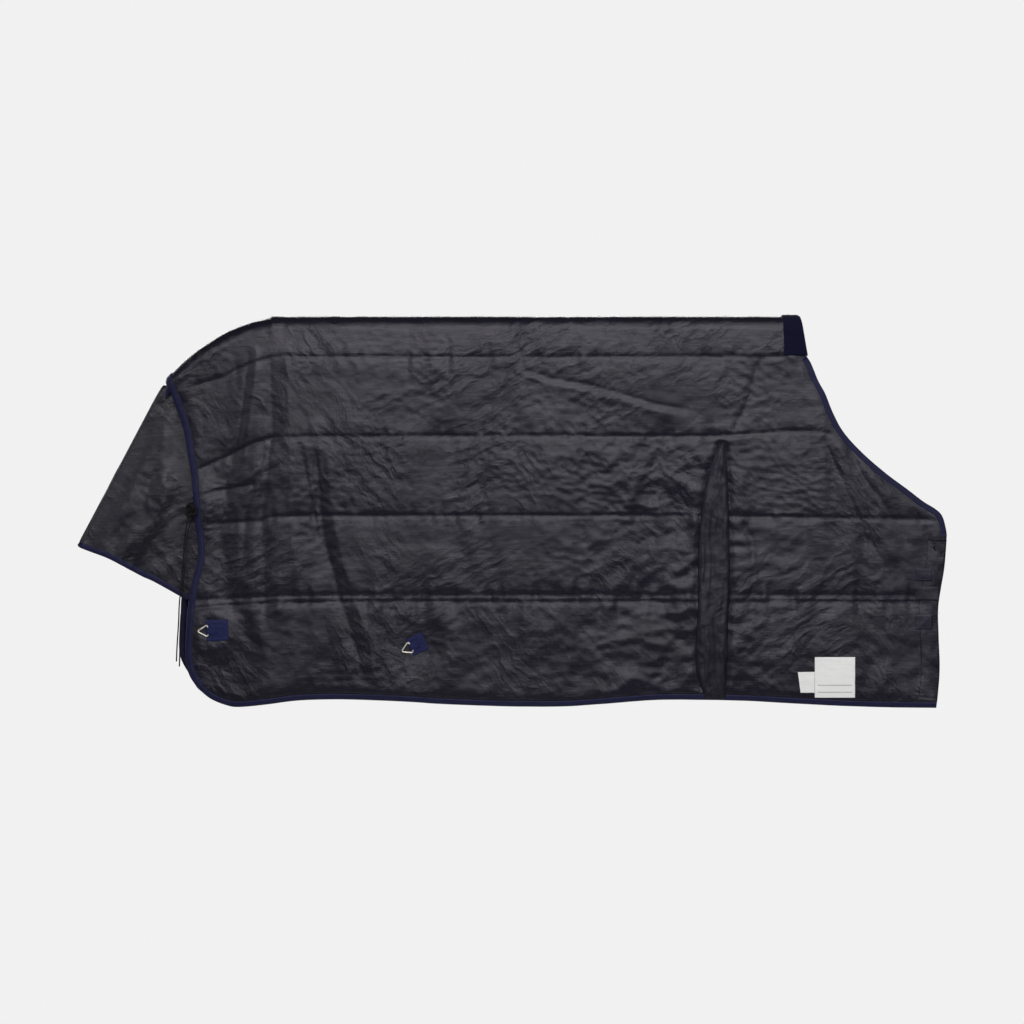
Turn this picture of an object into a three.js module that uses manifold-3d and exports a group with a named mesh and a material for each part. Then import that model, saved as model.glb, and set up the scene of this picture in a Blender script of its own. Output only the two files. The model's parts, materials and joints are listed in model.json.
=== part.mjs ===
// Turnout rug for a horse, hung inside out over a rail by its spine seam.
//
// Millimetres. +X to the head end, +Z up, the near (left) half at -Y and the off half at +Y.
// The origin is on the underside of the spine tape, where the rail bears, at mid ridge.
// Both halves are flat layers that hang from a faceted arch along the ridge; all radii of
// the arch are measured from its axis, and the same numbers are |y| in the hanging panels.
import * as THREE from "three";
import { mergeVertices } from "three/addons/utils/BufferGeometryUtils.js";
import Module from "manifold-3d";

const wasm = await Module();
wasm.setup();

// ---------------------------------------------------------------- driving dimensions
const RAIL_R = 22; // half of the rail's diameter, the bend of the cloth over it
const GAP = 0.3; // clearance between sewn neighbours
const TAPE_T = 1; // spine tape
const SHELL_T = 1; // outer shell fabric
const FILL_T = 7; // wadding
const LINING_T = 1; // quilted lining
const BIND_T = 0.7; // edge binding thickness
const BIND_W = 12; // edge binding width
const FACING_W = 42; // folded chest facing width
const PAD_T = 3; // withers pad thickness
const PAD_DROP = 89; // withers pad length down from the ridge
const PAD_W = 40; // withers pad length along the ridge

const FLAP_Y = 6; // half distance between the tail flap's two leaves, inside
const FLAP_T = 1; // each layer of the tail flap
const FLAP_BIND_W = 12;

const PATCH_T = 1.2; // reinforcing patches of the leg-strap rings
const LOOP_T = 1; // webbing loop of a ring
const LOOP_W = 15;
const LOOP_L = 17; // how far the loop lies back over its patch
const RING_WIRE = 3.5; // leg-strap ring wire diameter
const RING_BASE = 28; // ring base, wire middle to wire middle
const RING_H = 24; // ring height, base wire to apex
const LABEL_W = 89, LABEL_H = 92, LABEL_T = 0.8;
const TAG_W = 38, TAG_H = 46, TAG_T = 0.6;

const CORD_D = 3; // fillet string diameter
const FILLET_LOOP_T = 1; // tape loop that holds the fillet string
const FILLET_LOOP_W = 7;
const KNOT_W = 24, KNOT_H = 30, KNOT_Y = 13; // fillet knot, overall

const STRAP_W = 38; // chest strap webbing
const STRAP_T = 1.6;
const CHAPE_W = 36;
const BUCKLE_WIRE = 3.6; // buckle frame wire diameter
const BUCKLE_L = 30; // chape bar to outer bar
const BUCKLE_CLEAR = 2.5; // frame opening beside the strap, each side
const PRONG_D = 2.6;
const KEEPER_W = 12, KEEPER_T = 1;
const STRAP_Z = [-566, -664]; // heights of the two chest straps

// ---------------------------------------------------------------- layer stack
const shellIn = RAIL_R + TAPE_T + GAP;
const shellOut = shellIn + SHELL_T;
const fillIn = shellOut + GAP;
const fillOut = fillIn + FILL_T;
const liningIn = fillOut + GAP;
const liningOut = liningIn + LINING_T; // also the arch radius of the ridge
const bindIn = shellIn - GAP - BIND_T; // binding wraps every layer
const bindOut = liningOut + GAP + BIND_T;
const sewn = BIND_T + GAP; // how far the layers stop inside a bound edge

// ---------------------------------------------------------------- outline, [x, z]
const ridge = [[587, liningOut - RAIL_R], [-587, liningOut - RAIL_R], [-646, -6], [-696, -27],
  [-738, -53], [-771, -77], [-800, -103], [-826, -130]];
const rump = [[-796, -204], [-784, -243], [-776, -289], [-768, -336], [-763, -384],
  [-761, -402]];
const rear = [[-760, -418], [-757, -461], [-752, -502], [-754, -537], [-766, -584], [-773, -630],
  [-778, -690], [-779, -746], [-772, -786], [-753, -817], [-724, -841], [-690, -855],
  [-662, -859]];
const hem = [[-600, -853], [-540, -845], [-480, -842], [-400, -842], [-300, -846], [-200, -852],
  [-60, -857], [60, -857], [140, -852], [230, -845], [310, -842], [450, -844], [550, -849],
  [660, -855], [780, -859], [889, -860]];
const front = [[896, -780], [894, -700], [893, -640], [900, -590], [907, -546], [912, -482]];
const neck = [[911, -468], [903, -437], [889, -421], [859, -402], [829, -379], [778, -341],
  [727, -297], [684, -250], [660, -207], [642, -163], [627, -135], [611, -96], [601, -80]];
// shoulder gusset, a long sliver let into the hem: its rear edge up, its front edge down
const gussetRear = [[376, -840], [358, -790], [354, -740], [356, -688], [360, -626],
  [360, -519], [367, -435], [376, -379], [391, -319], [408, -272]];
const gussetFront = [[418, -272], [424, -300], [428, -390], [430, -519], [428, -646],
  [423, -780], [421, -840]];
const flapRidge = [[-813, -134.9], [-821.3, -143.1], [-831, -147], [-841, -153], [-1000, -456],
  [-1016, -492]];
const flapHem = [[-1018, -504], [-951, -530], [-884, -566], [-849, -582], [-778, -622]];
const flapInner = [[-764, -560], [-762, -470], [-772, -430], [-773, -395], [-758, -350],
  [-764, -290], [-776, -230], [-790, -180], [-804, -150]];

// ---------------------------------------------------------------- helpers
const V = (x, y, z) => new THREE.Vector3(x, y, z);
const group = new THREE.Group();
group.name = "turnout_rug";

function material(color, roughness, metalness = 0) {
  return new THREE.MeshStandardMaterial({ color, roughness, metalness, flatShading: true });
}
const look = {
  lining: () => material(0x3f3e44, 0.42),
  shell: () => material(0x24242b, 0.6),
  filling: () => material(0xe4e4e0, 0.95),
  binding: () => material(0x26264f, 0.75),
  pad: () => material(0x1c1c3c, 0.95),
  webbing: () => material(0x26265a, 0.8),
  label: () => material(0xe6e6e2, 0.6),
  ring: () => material(0xd0c8bc, 0.3, 1),
  cord: () => material(0x1a1a1c, 0.8),
};

function add(name, geometry, mat) {
  const mesh = new THREE.Mesh(geometry, mat);
  mesh.name = name;
  group.add(mesh);
  return mesh;
}

function bare(geometry) {
  const g = geometry.clone();
  for (const a of Object.keys(g.attributes)) if (a !== "position") g.deleteAttribute(a);
  return mergeVertices(g, 1e-4);
}

function solid(geometry) {
  const g = bare(geometry);
  const mesh = new wasm.Mesh({
    numProp: 3,
    vertProperties: new Float32Array(g.attributes.position.array),
    triVerts: new Uint32Array(g.index.array),
  });
  return new wasm.Manifold(mesh);
}

function fromSolid(s) {
  const m = s.getMesh();
  const g = new THREE.BufferGeometry();
  g.setAttribute("position", new THREE.BufferAttribute(m.vertProperties, 3));
  g.setIndex(new THREE.BufferAttribute(m.triVerts, 1));
  return g;
}

const join = (...gs) => fromSolid(gs.map(solid).reduce((a, b) => a.add(b)));
const cut = (g, ...tools) => fromSolid(tools.map(solid).reduce((a, b) => a.subtract(b), solid(g)));

// Flat panel in XZ, between two values of y.
function panel(points, ya, yb) {
  const shape = new THREE.Shape(points.map(([x, z]) => new THREE.Vector2(x, z)));
  const g = new THREE.ExtrudeGeometry(shape, { depth: Math.abs(yb - ya), bevelEnabled: false });
  g.rotateX(Math.PI / 2);
  g.translate(0, Math.max(ya, yb), 0);
  return g;
}

// Flat plate in XY, between two heights.
function plate(points, za, zb) {
  const shape = new THREE.Shape(points.map(([x, y]) => new THREE.Vector2(x, y)));
  const g = new THREE.ExtrudeGeometry(shape, { depth: Math.abs(zb - za), bevelEnabled: false });
  g.translate(0, 0, Math.min(za, zb));
  return g;
}

function box(x0, x1, y0, y1, z0, z1) {
  const g = new THREE.BoxGeometry(Math.abs(x1 - x0), Math.abs(y1 - y0), Math.abs(z1 - z0));
  g.translate((x0 + x1) / 2, (y0 + y1) / 2, (z0 + z1) / 2);
  return g;
}

// Closed body through rings of equal point counts; every ring is a simple polygon.
function loft(rings, closed = false) {
  const n = rings[0].length;
  const pos = [];
  for (const r of rings) for (const p of r) pos.push(p.x, p.y, p.z);
  const idx = [];
  const last = closed ? rings.length : rings.length - 1;
  for (let i = 0; i < last; i++) {
    const a = i * n, b = ((i + 1) % rings.length) * n;
    for (let j = 0; j < n; j++) {
      const k = (j + 1) % n;
      idx.push(a + j, b + j, b + k, a + j, b + k, a + k);
    }
  }
  if (!closed) {
    const cap = (ring, base, flip) => {
      const flat = flatten(ring);
      for (const [a, b, c] of THREE.ShapeUtils.triangulateShape(flat, [])) {
        idx.push(base + a, base + (flip ? c : b), base + (flip ? b : c));
      }
    };
    const first = THREE.ShapeUtils.area(flatten(rings[0])) > 0;
    const end = THREE.ShapeUtils.area(flatten(rings[rings.length - 1])) > 0;
    cap(rings[0], 0, !first);
    cap(rings[rings.length - 1], (rings.length - 1) * n, end);
  }
  const g = new THREE.BufferGeometry();
  g.setAttribute("position", new THREE.Float32BufferAttribute(pos, 3));
  g.setIndex(idx);
  return outward(g);
}

// A ring's points in its own plane.
function flatten(ring) {
  const normal = V(0, 0, 0);
  ring.forEach((p, i) => normal.add(V(0, 0, 0).crossVectors(p, ring[(i + 1) % ring.length])));
  normal.normalize();
  const u = V(0, 0, 0).subVectors(ring[1], ring[0]).normalize();
  const v = V(0, 0, 0).crossVectors(normal, u);
  return ring.map((p) => new THREE.Vector2(p.dot(u), p.dot(v)));
}

function outward(g) {
  const p = g.attributes.position, ix = g.index;
  const t = [V(0, 0, 0), V(0, 0, 0), V(0, 0, 0)];
  let volume = 0;
  for (let i = 0; i < ix.count; i += 3) {
    for (let k = 0; k < 3; k++) t[k].fromBufferAttribute(p, ix.getX(i + k));
    volume += t[0].dot(t[1].clone().cross(t[2]));
  }
  if (volume < 0) {
    const a = ix.array;
    for (let i = 0; i < a.length; i += 3) [a[i + 1], a[i + 2]] = [a[i + 2], a[i + 1]];
  }
  return g;
}

// Moves each edge of a closed outline inwards by its own distance (clockwise or not).
function inset(points, distance) {
  const n = points.length;
  let area = 0;
  points.forEach(([x, z], i) => {
    const [x2, z2] = points[(i + 1) % n];
    area += x * z2 - x2 * z;
  });
  const s = Math.sign(area);
  const line = points.map(([x, z], i) => {
    const [x2, z2] = points[(i + 1) % n];
    const l = Math.hypot(x2 - x, z2 - z);
    const nx = (-s * (z2 - z)) / l, nz = (s * (x2 - x)) / l;
    return { nx, nz, c: nx * x + nz * z + distance(i) };
  });
  return points.map((p, i) => {
    const a = line[(i + n - 1) % n], b = line[i];
    const det = a.nx * b.nz - b.nx * a.nz;
    if (Math.abs(det) < 1e-3) return [p[0] + b.nx * distance(i), p[1] + b.nz * distance(i)];
    return [(a.c * b.nz - b.c * a.nz) / det, (a.nx * b.c - b.nx * a.c) / det];
  });
}

// Mitred normals to the left of an open polyline.
function inward(points) {
  return points.map((p, i) => {
    const dirs = [];
    if (i > 0) dirs.push([p[0] - points[i - 1][0], p[1] - points[i - 1][1]]);
    if (i < points.length - 1) dirs.push([points[i + 1][0] - p[0], points[i + 1][1] - p[1]]);
    const ns = dirs.map(([x, z]) => {
      const l = Math.hypot(x, z);
      return [-z / l, x / l];
    });
    if (ns.length === 1) return ns[0];
    const mx = ns[0][0] + ns[1][0], mz = ns[0][1] + ns[1][1];
    const k = 2 / (mx * mx + mz * mz);
    return [mx * k, mz * k];
  });
}

// Closed strip between two distances from an open polyline.
function band(points, d0, d1) {
  const n = inward(points);
  const at = (d) => points.map(([x, z], i) => [x + n[i][0] * d, z + n[i][1] * d]);
  return [...at(d0), ...at(d1).reverse()];
}

// ---------------------------------------------------------------- arch along the ridge
const ARCH = [11.25, 33.75, 56.25, 78.75].map(THREE.MathUtils.degToRad);
const LEG = 8; // straight length of the arch below its springing, shared with the panel
const HALF_SLIT = GAP / 2; // the two halves meet at the ridge with a seam between them

// Slope of the end edges: the front edge leans forward and the dock edge too as they go down.
const lean = ridge.map(() => 0);
lean[0] = 0.15;
lean[ridge.length - 1] = 0.44;

// Point of the arch section at ridge station i, radius r; j = 0 is the crest, 5 the leg's foot.
function archPoint(i, r, j, side) {
  const [x, z] = ridge[i];
  const zc = z - liningOut;
  const rr = r / Math.cos(ARCH[0]);
  let y, h;
  if (j === 0) [y, h] = [HALF_SLIT, zc + r];
  else if (j <= 4) [y, h] = [rr * Math.sin(ARCH[j - 1]), zc + rr * Math.cos(ARCH[j - 1])];
  else [y, h] = [r, zc - LEG];
  return V(x + lean[i] * (z - h), side * y, h);
}

// Arch point at the dock, a distance d in from its edge.
function dockPoint(r, j, side, d) {
  const edge = archPoint(ridge.length - 1, r, j, side);
  const next = archPoint(ridge.length - 2, r, j, side);
  return edge.addScaledVector(next.sub(edge).normalize(), d);
}

function arch(rIn, rOut, side, endInset) {
  const last = ridge.length - 1;
  const point = (i, r, j) =>
    i === last ? dockPoint(r, j, side, endInset) : archPoint(i, r, j, side);
  return loft(ridge.map((p, i) => {
    const ring = [];
    for (let j = 0; j <= 5; j++) ring.push(point(i, rOut, j));
    for (let j = 5; j >= 0; j--) ring.push(point(i, rIn, j));
    return ring;
  }));
}

// Springing line: where the flat panels begin, front to dock.
const springing = ridge.map(([x, z], i) => [x + lean[i] * liningOut, z - liningOut]);

// ---------------------------------------------------------------- the two halves
// Closed outline of one hanging panel: springing line, rump, rear, hem, front, neck.
const outline = [...springing, ...rump, ...rear, ...hem, ...front, ...neck];
const bound = (i) => i >= springing.length - 1;
const layerOutline = inset(outline, (i) => (bound(i) ? sewn : 0));
const gusset = [...gussetRear, ...gussetFront];
const notch = gusset.map(([x, z], i) => {
  const rearEdge = i < gussetRear.length;
  const foot = i === 0 || i === gusset.length - 1;
  return [x + (rearEdge ? -GAP : GAP), z + (foot ? -60 : z > -280 ? GAP : 0)];
});

function half(rIn, rOut, side) {
  const flat = panel(layerOutline, side * rIn, side * rOut);
  const body = join(flat, arch(rIn, rOut, side, sewn));
  return cut(body, panel(notch, side * (rIn - 1), side * (rOut + 1)));
}

// Section of an edge binding; d is the distance in from the edge.
function uSection(width, rIn = bindIn, rOut = bindOut, t = BIND_T) {
  return [[0, rIn], [0, rOut], [width, rOut], [width, rOut - t], [t, rOut - t],
    [t, rIn + t], [width, rIn + t], [width, rIn]];
}

// U section swept along an edge of the flat panel; head holds rings that come before it.
function binding(points, side, profile, head = []) {
  const normals = inward(points);
  return loft([...head, ...points.map(([x, z], i) =>
    profile.map(([d, r]) => V(x + normals[i][0] * d, side * r, z + normals[i][1] * d)))]);
}

// The rump binding starts at the ridge and comes down round the arch first.
function dockRings(side) {
  return [0, 1, 2, 3, 4].map((j) => uSection(BIND_W).map(([d, r]) => dockPoint(r, j, side, d)));
}

for (const [word, side] of [["near", -1], ["off", 1]]) {
  add(`${word}_outer_shell`, half(shellIn, shellOut, side), look.shell());
  add(`${word}_filling`, half(fillIn, fillOut, side), look.filling());
  add(`${word}_lining`, half(liningIn, liningOut, side), look.lining());
  add(`${word}_shoulder_gusset`, panel(gusset, side * shellIn, side * liningOut), look.lining());
  const rumpLine = [springing.at(-1), ...rump];
  add(`${word}_rump_binding`, binding(rumpLine, side, uSection(BIND_W), dockRings(side)), look.binding());
  const hemLine = [[rump.at(-1)[0], rump.at(-1)[1] - GAP], ...rear, ...hem];
  add(`${word}_hem_binding`, binding(hemLine, side, uSection(BIND_W)), look.binding());
  const [cx, cz] = hem.at(-1), [fx, fz] = front[0];
  const foot = [cx + ((fx - cx) * (BIND_W + GAP)) / (fz - cz), cz + BIND_W + GAP];
  add(`${word}_chest_facing`, binding([foot, ...front], side, uSection(FACING_W)), look.lining());
  add(`${word}_neck_binding`, binding(neck, side, uSection(BIND_W)), look.binding());
}

// ---------------------------------------------------------------- ridge pieces
// Section across both sides of the ridge: tape or pad over the arch vertices 1 to last.
function bothSides(i, rIn, rOut, last, foot, dx = 0) {
  const row = (r) => {
    const one = [];
    for (let j = 1; j <= last; j++) one.push(archPoint(i, r, j, 1));
    if (foot !== null) {
      const z = ridge[i][1] - foot;
      one.push(V(ridge[i][0] + lean[i] * foot, r, z));
    }
    const other = one.map((p) => V(p.x, -p.y, p.z)).reverse();
    return [...other, ...one];
  };
  return [...row(rOut), ...row(rIn).reverse()].map((p) => p.add(V(dx, 0, 0)));
}

const tapeEnd = ridge.length - 1;
const tapeRings = ridge.map((p, i) => bothSides(i, RAIL_R, RAIL_R + TAPE_T, 2, null));
tapeRings[tapeEnd].forEach((p, i) => {
  p.addScaledVector(tapeRings[tapeEnd - 1][i].clone().sub(p).normalize(), BIND_W + 3);
});
add("spine_tape", loft(tapeRings), look.binding());

const padIn = liningOut + GAP;
const padBack = bothSides(0, padIn, padIn + PAD_T, 4, PAD_DROP);
for (const p of padBack) p.x = ridge[0][0] - PAD_W;
const padFront = bothSides(0, padIn, padIn + PAD_T, 4, PAD_DROP);
add("withers_pad", loft([padFront, padBack]), look.pad());

// ---------------------------------------------------------------- tail flap
// Two leaves folded over the flap's ridge, shell inside and lining outside, bound at the hem.
const flapOutline = [...flapRidge, ...flapHem, ...flapInner];
const flapFold = (i) => i < flapRidge.length;
const flapBound = (i) => i >= flapRidge.length && i < flapRidge.length + flapHem.length - 1;

function leaves(halfIn, fold) {
  const out = inset(flapOutline, (i) => (flapFold(i) ? fold : flapBound(i) ? sewn : 0));
  const hollow = inset(flapOutline, (i) => (flapFold(i) ? fold + FLAP_T : -4));
  return cut(panel(out, -halfIn - FLAP_T, halfIn + FLAP_T), panel(hollow, -halfIn, halfIn));
}

const flapLiningIn = FLAP_Y + FLAP_T + GAP;
add("tail_flap_shell", leaves(FLAP_Y, FLAP_T + GAP), look.shell());
add("tail_flap_lining", leaves(flapLiningIn, 0), look.lining());

// The binding runs along both leaves' hems and is one piece across the tip.
const flapSection = uSection(FLAP_BIND_W, FLAP_Y - GAP - BIND_T, flapLiningIn + FLAP_T + GAP + BIND_T);
const hemAt = (x) => [x, flapHem[0][1]
  + ((x - flapHem[0][0]) * (flapHem[1][1] - flapHem[0][1])) / (flapHem[1][0] - flapHem[0][0])];
const web = band([hemAt(flapHem[0][0] + 0.5), hemAt(flapHem[0][0] + 9)], 0.1, BIND_T - 0.1);
const clearing = band([hemAt(flapHem[0][0] - 3), hemAt(flapHem[0][0] + 6)], BIND_T, FLAP_BIND_W + 6);
add("tail_flap_binding", cut(
  join(binding(flapHem, -1, flapSection), binding(flapHem, 1, flapSection),
    panel(web, -FLAP_Y, FLAP_Y)),
  panel(clearing, -FLAP_Y - 0.1, FLAP_Y + 0.1),
), look.binding());

// ---------------------------------------------------------------- labels
const labelY = -liningOut - GAP;
const labelX = 619, labelTop = -748;
add("care_label", box(labelX, labelX + LABEL_W, labelY, labelY - LABEL_T, labelTop,
  labelTop - LABEL_H), look.label());
add("size_tag", box(labelX - GAP - TAG_W, labelX - GAP, labelY, labelY - TAG_T, labelTop - 33,
  labelTop - 33 - TAG_H), look.label());

// ---------------------------------------------------------------- leg-strap rings
// Ribbon polygon of thickness t along an open centre line.
function ribbon(points, t) {
  return band(points, -t / 2, t / 2);
}

function arc(cx, cy, r, from, to, steps) {
  const pts = [];
  for (let i = 0; i <= steps; i++) {
    const a = THREE.MathUtils.degToRad(from + ((to - from) * i) / steps);
    pts.push([cx + r * Math.cos(a), cy + r * Math.sin(a)]);
  }
  return pts;
}

// Closed flat loop with rounded corners: points and the direction that faces out of the bend.
function wirePath(corners, bend, steps) {
  const path = [];
  corners.forEach((c, i) => {
    const unit = ([x, z]) => new THREE.Vector2(x - c[0], z - c[1]).normalize();
    const a = unit(corners[(i + corners.length - 1) % corners.length]);
    const b = unit(corners[(i + 1) % corners.length]);
    const halfAngle = Math.acos(THREE.MathUtils.clamp(a.dot(b), -1, 1)) / 2;
    const mid = a.clone().add(b).normalize();
    const cx = c[0] + (mid.x * bend) / Math.sin(halfAngle);
    const cz = c[1] + (mid.y * bend) / Math.sin(halfAngle);
    const turn = Math.PI / 2 - halfAngle;
    const out = Math.atan2(-mid.y, -mid.x);
    const sign = Math.sign(a.x * b.y - a.y * b.x);
    for (let k = 0; k <= steps; k++) {
      const t = out - sign * turn * (1 - (2 * k) / steps) * -1;
      path.push([cx + bend * Math.cos(t), cz + bend * Math.sin(t), t]);
    }
  });
  return path;
}

// Round wire bent round such a loop, in XZ.
function wireLoop(corners, bend, wire) {
  return loft(wirePath(corners, bend, 3).map(([x, z, t]) => {
    const ring = [];
    for (let k = 0; k < 8; k++) {
      const a = ((k + 0.5) * Math.PI) / 4;
      const d = (wire / 2) * Math.cos(a);
      ring.push(V(x + d * Math.cos(t), (wire / 2) * Math.sin(a), z + d * Math.sin(t)));
    }
    return ring;
  }), true);
}

const loopFoot = GAP + PATCH_T + GAP + LOOP_T / 2; // centre of the loop's lower leg
const loopBend = RING_WIRE / 2 + GAP + LOOP_T / 2;
const ringOut = loopFoot + loopBend; // wire axis above the lining

function legFitting(word, side, x, z, angle, patchU, patchV) {
  const at = new THREE.Group();
  at.position.set(x, side * liningOut, z);
  at.rotation.y = THREE.MathUtils.degToRad(-angle);
  const y = (w) => side * w;
  const patch = box(-patchU + 4, 4, y(GAP), y(GAP + PATCH_T), -patchV / 2, patchV / 2);
  const centre = [[-LOOP_L, loopFoot], ...arc(0, ringOut, loopBend, -90, 90, 6),
    [-6, ringOut + loopBend * 0.7], [-12, loopFoot + LOOP_T + GAP + 0.2],
    [-LOOP_L, loopFoot + LOOP_T + GAP]];
  const loop = plate(ribbon(centre.map(([u, w]) => [u, y(w)]), LOOP_T), -LOOP_W / 2, LOOP_W / 2);
  const ring = wireLoop([[0, -RING_BASE / 2], [RING_H, 0], [0, RING_BASE / 2]], 3, RING_WIRE);
  ring.translate(0, y(ringOut), 0);
  for (const [name, g, m] of [["patch", patch, look.webbing()], ["loop", loop, look.webbing()],
    ["ring", ring, look.ring()]]) {
    const mesh = new THREE.Mesh(g, m);
    mesh.name = `${word}_leg_${name}`;
    at.add(mesh);
  }
  group.add(at);
}

for (const [word, side] of [["near", -1], ["off", 1]]) {
  legFitting(`${word}_rear`, side, -728.8, -689.7, 183, 49, 47);
  legFitting(`${word}_front`, side, -277.6, -725.8, 206, 39, 41);
}

// ---------------------------------------------------------------- fillet string
function flatLoop(corners, bend, t, y0, y1) {
  const path = wirePath(corners, bend, 3);
  return loft(path.map(([x, z, a]) => {
    const c = Math.cos(a) * t / 2, s = Math.sin(a) * t / 2;
    return [V(x - c, y0, z - s), V(x + c, y0, z + s), V(x + c, y1, z + s), V(x - c, y1, z - s)];
  }), true);
}

const stringX = -767.5, stringZ = -416; // where the string crosses between the halves
for (const [word, side] of [["near", -1], ["off", 1]]) {
  const mid = side * (bindIn + bindOut) / 2;
  add(`${word}_fillet_loop`, flatLoop([[-762.6, -392], [-777, -412], [-760.8, -424]], 2.5,
    FILLET_LOOP_T, mid - FILLET_LOOP_W / 2, mid + FILLET_LOOP_W / 2), look.binding());
}

function cord(points) {
  const curve = new THREE.CatmullRomCurve3(points.map((p) => V(...p)));
  const section = new THREE.Shape();
  for (let k = 0; k < 8; k++) {
    const a = (k * Math.PI) / 4;
    const p = [Math.cos(a) * CORD_D / 2, Math.sin(a) * CORD_D / 2];
    if (k === 0) section.moveTo(...p); else section.lineTo(...p);
  }
  const steps = Math.round(curve.getLength() / (CORD_D * 4));
  return new THREE.ExtrudeGeometry(section, { steps, extrudePath: curve });
}

const knotY = bindOut + 2.7 + KNOT_Y / 2;
const knotX = stringX + 2, knotZ = stringZ - 8;
const stringGeo = new THREE.CylinderGeometry(CORD_D / 2, CORD_D / 2, 2 * (bindOut + 3), 8);
stringGeo.translate(stringX, 0, stringZ);
add("fillet_string", stringGeo, look.cord());
for (const [word, side] of [["near", -1], ["off", 1]]) {
  const knot = new THREE.SphereGeometry(1, 14, 9);
  knot.scale(KNOT_W / 2, KNOT_Y / 2, KNOT_H / 2);
  knot.translate(knotX, side * knotY, knotZ);
  add(`${word}_fillet_knot`, knot, look.cord());
}
const tailTop = knotZ - KNOT_H / 2 - GAP;
add("fillet_tail_front", cord([[knotX, -knotY, tailTop - 0.2], [knotX - 2, -knotY, tailTop - 8],
  [-774, -knotY - 2, -480], [-781, -knotY - 2, -572], [-786, -knotY - 1, -660],
  [-791, -knotY, -768]]), look.cord());
add("fillet_tail_back", cord([[knotX - 5, -knotY + 1, tailTop + 1.3], [-775, -knotY + 2, -449],
  [-780, -knotY + 4, -490], [-786, -knotY + 4, -572], [-792, -knotY + 4, -660],
  [-798, -knotY + 4, -757]]), look.cord());

// ---------------------------------------------------------------- chest closure
// A strap sewn to the near half bends round to a buckle on the off half, inside the fold.
const seat = bindIn - GAP; // face that the webbing is sewn to
const barX = 816, bendX = 866; // chape bar, and middle of the strap's bend
const chapeBend = BUCKLE_WIRE / 2 + GAP + STRAP_T / 2;
const legA = seat - STRAP_T / 2; // chape leg against the cloth
const barY = legA - chapeBend;
const legB = legA - STRAP_T - GAP;
const strapLow = legB - STRAP_T - GAP;
const strapHigh = barY - chapeBend - STRAP_T - GAP - 0.4;
const prongR = BUCKLE_WIRE / 2 + GAP;

function closure(word, zc) {
  const wide = (pts, t, w) => plate(ribbon(pts, t), zc - w / 2, zc + w / 2);
  const slot = (x0, x1, w) => box(x0, x1, 0, 30, zc - w / 2, zc + w / 2);

  const strap = wide([[838, -legA], ...arc(bendX, 0, legA, -90, 90, 14), [852, legA],
    [843, legA - 0.2], [barX + 4.5, strapHigh + 0.3], [barX, strapHigh],
    [barX - 5, strapHigh + 0.6], [barX - 14, strapLow - 0.2], [barX - 18, strapLow],
    [740, strapLow]], STRAP_T, STRAP_W);
  add(`${word}_chest_strap`, cut(strap, slot(barX - 4, barX + 21, 5.4)), look.webbing());

  const chape = wide([[768, legA], ...arc(barX, barY, chapeBend, 90, -90, 8),
    [barX - 5, barY - chapeBend + 0.8], [barX - 13, legB], [772, legB]], STRAP_T, CHAPE_W);
  add(`${word}_buckle_chape`, cut(chape, slot(barX - 5.4, barX + 6, 6)), look.webbing());

  const halfZ = STRAP_W / 2 + BUCKLE_CLEAR + BUCKLE_WIRE / 2;
  const frame = wireLoop([[barX, zc - halfZ], [barX + BUCKLE_L, zc - halfZ],
    [barX + BUCKLE_L, zc + halfZ], [barX, zc + halfZ]], 4, BUCKLE_WIRE);
  frame.translate(0, barY, 0);
  add(`${word}_buckle_frame`, frame, look.ring());

  const eye = new THREE.Shape().absarc(barX, barY, prongR + 1.5, 0, 2 * Math.PI);
  eye.holes.push(new THREE.Path().absarc(barX, barY, prongR, 0, 2 * Math.PI, true));
  const eyeGeo = new THREE.ExtrudeGeometry(eye, { depth: 4, bevelEnabled: false,
    curveSegments: 8 });
  eyeGeo.translate(0, 0, zc - 2);
  const from = V(barX + 0.8, barY - prongR - 0.4, zc);
  const tip = V(barX + BUCKLE_L + 1, barY - BUCKLE_WIRE / 2 - GAP - PRONG_D / 2, zc);
  const rod = new THREE.CylinderGeometry(PRONG_D / 2, PRONG_D / 2, from.distanceTo(tip), 8);
  rod.rotateZ(-Math.PI / 2 + Math.atan2(tip.y - from.y, tip.x - from.x));
  rod.translate((from.x + tip.x) / 2, (from.y + tip.y) / 2, zc);
  const bore = new THREE.CylinderGeometry(prongR, prongR, 30, 16);
  bore.rotateX(Math.PI / 2);
  bore.translate(barX, barY, zc);
  add(`${word}_buckle_prong`, cut(join(eyeGeo, rod), bore), look.ring());

  const keeperX = 784;
  const inner = [legA + STRAP_T / 2 + GAP, strapLow - STRAP_T / 2 - GAP];
  const sideIn = STRAP_W / 2 + 0.5;
  add(`${word}_strap_keeper`, cut(
    box(keeperX, keeperX + KEEPER_W, shellIn - GAP, inner[1] - KEEPER_T, zc - sideIn - KEEPER_T,
      zc + sideIn + KEEPER_T),
    box(keeperX - 1, keeperX + KEEPER_W + 1, inner[0], inner[1], zc - sideIn, zc + sideIn),
  ), look.webbing());
}

closure("upper", STRAP_Z[0]);
closure("lower", STRAP_Z[1]);

export default group;
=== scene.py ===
import json
import math

import bpy
import numpy as np
from mathutils import Matrix, Vector
from mathutils.geometry import tessellate_polygon

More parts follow.
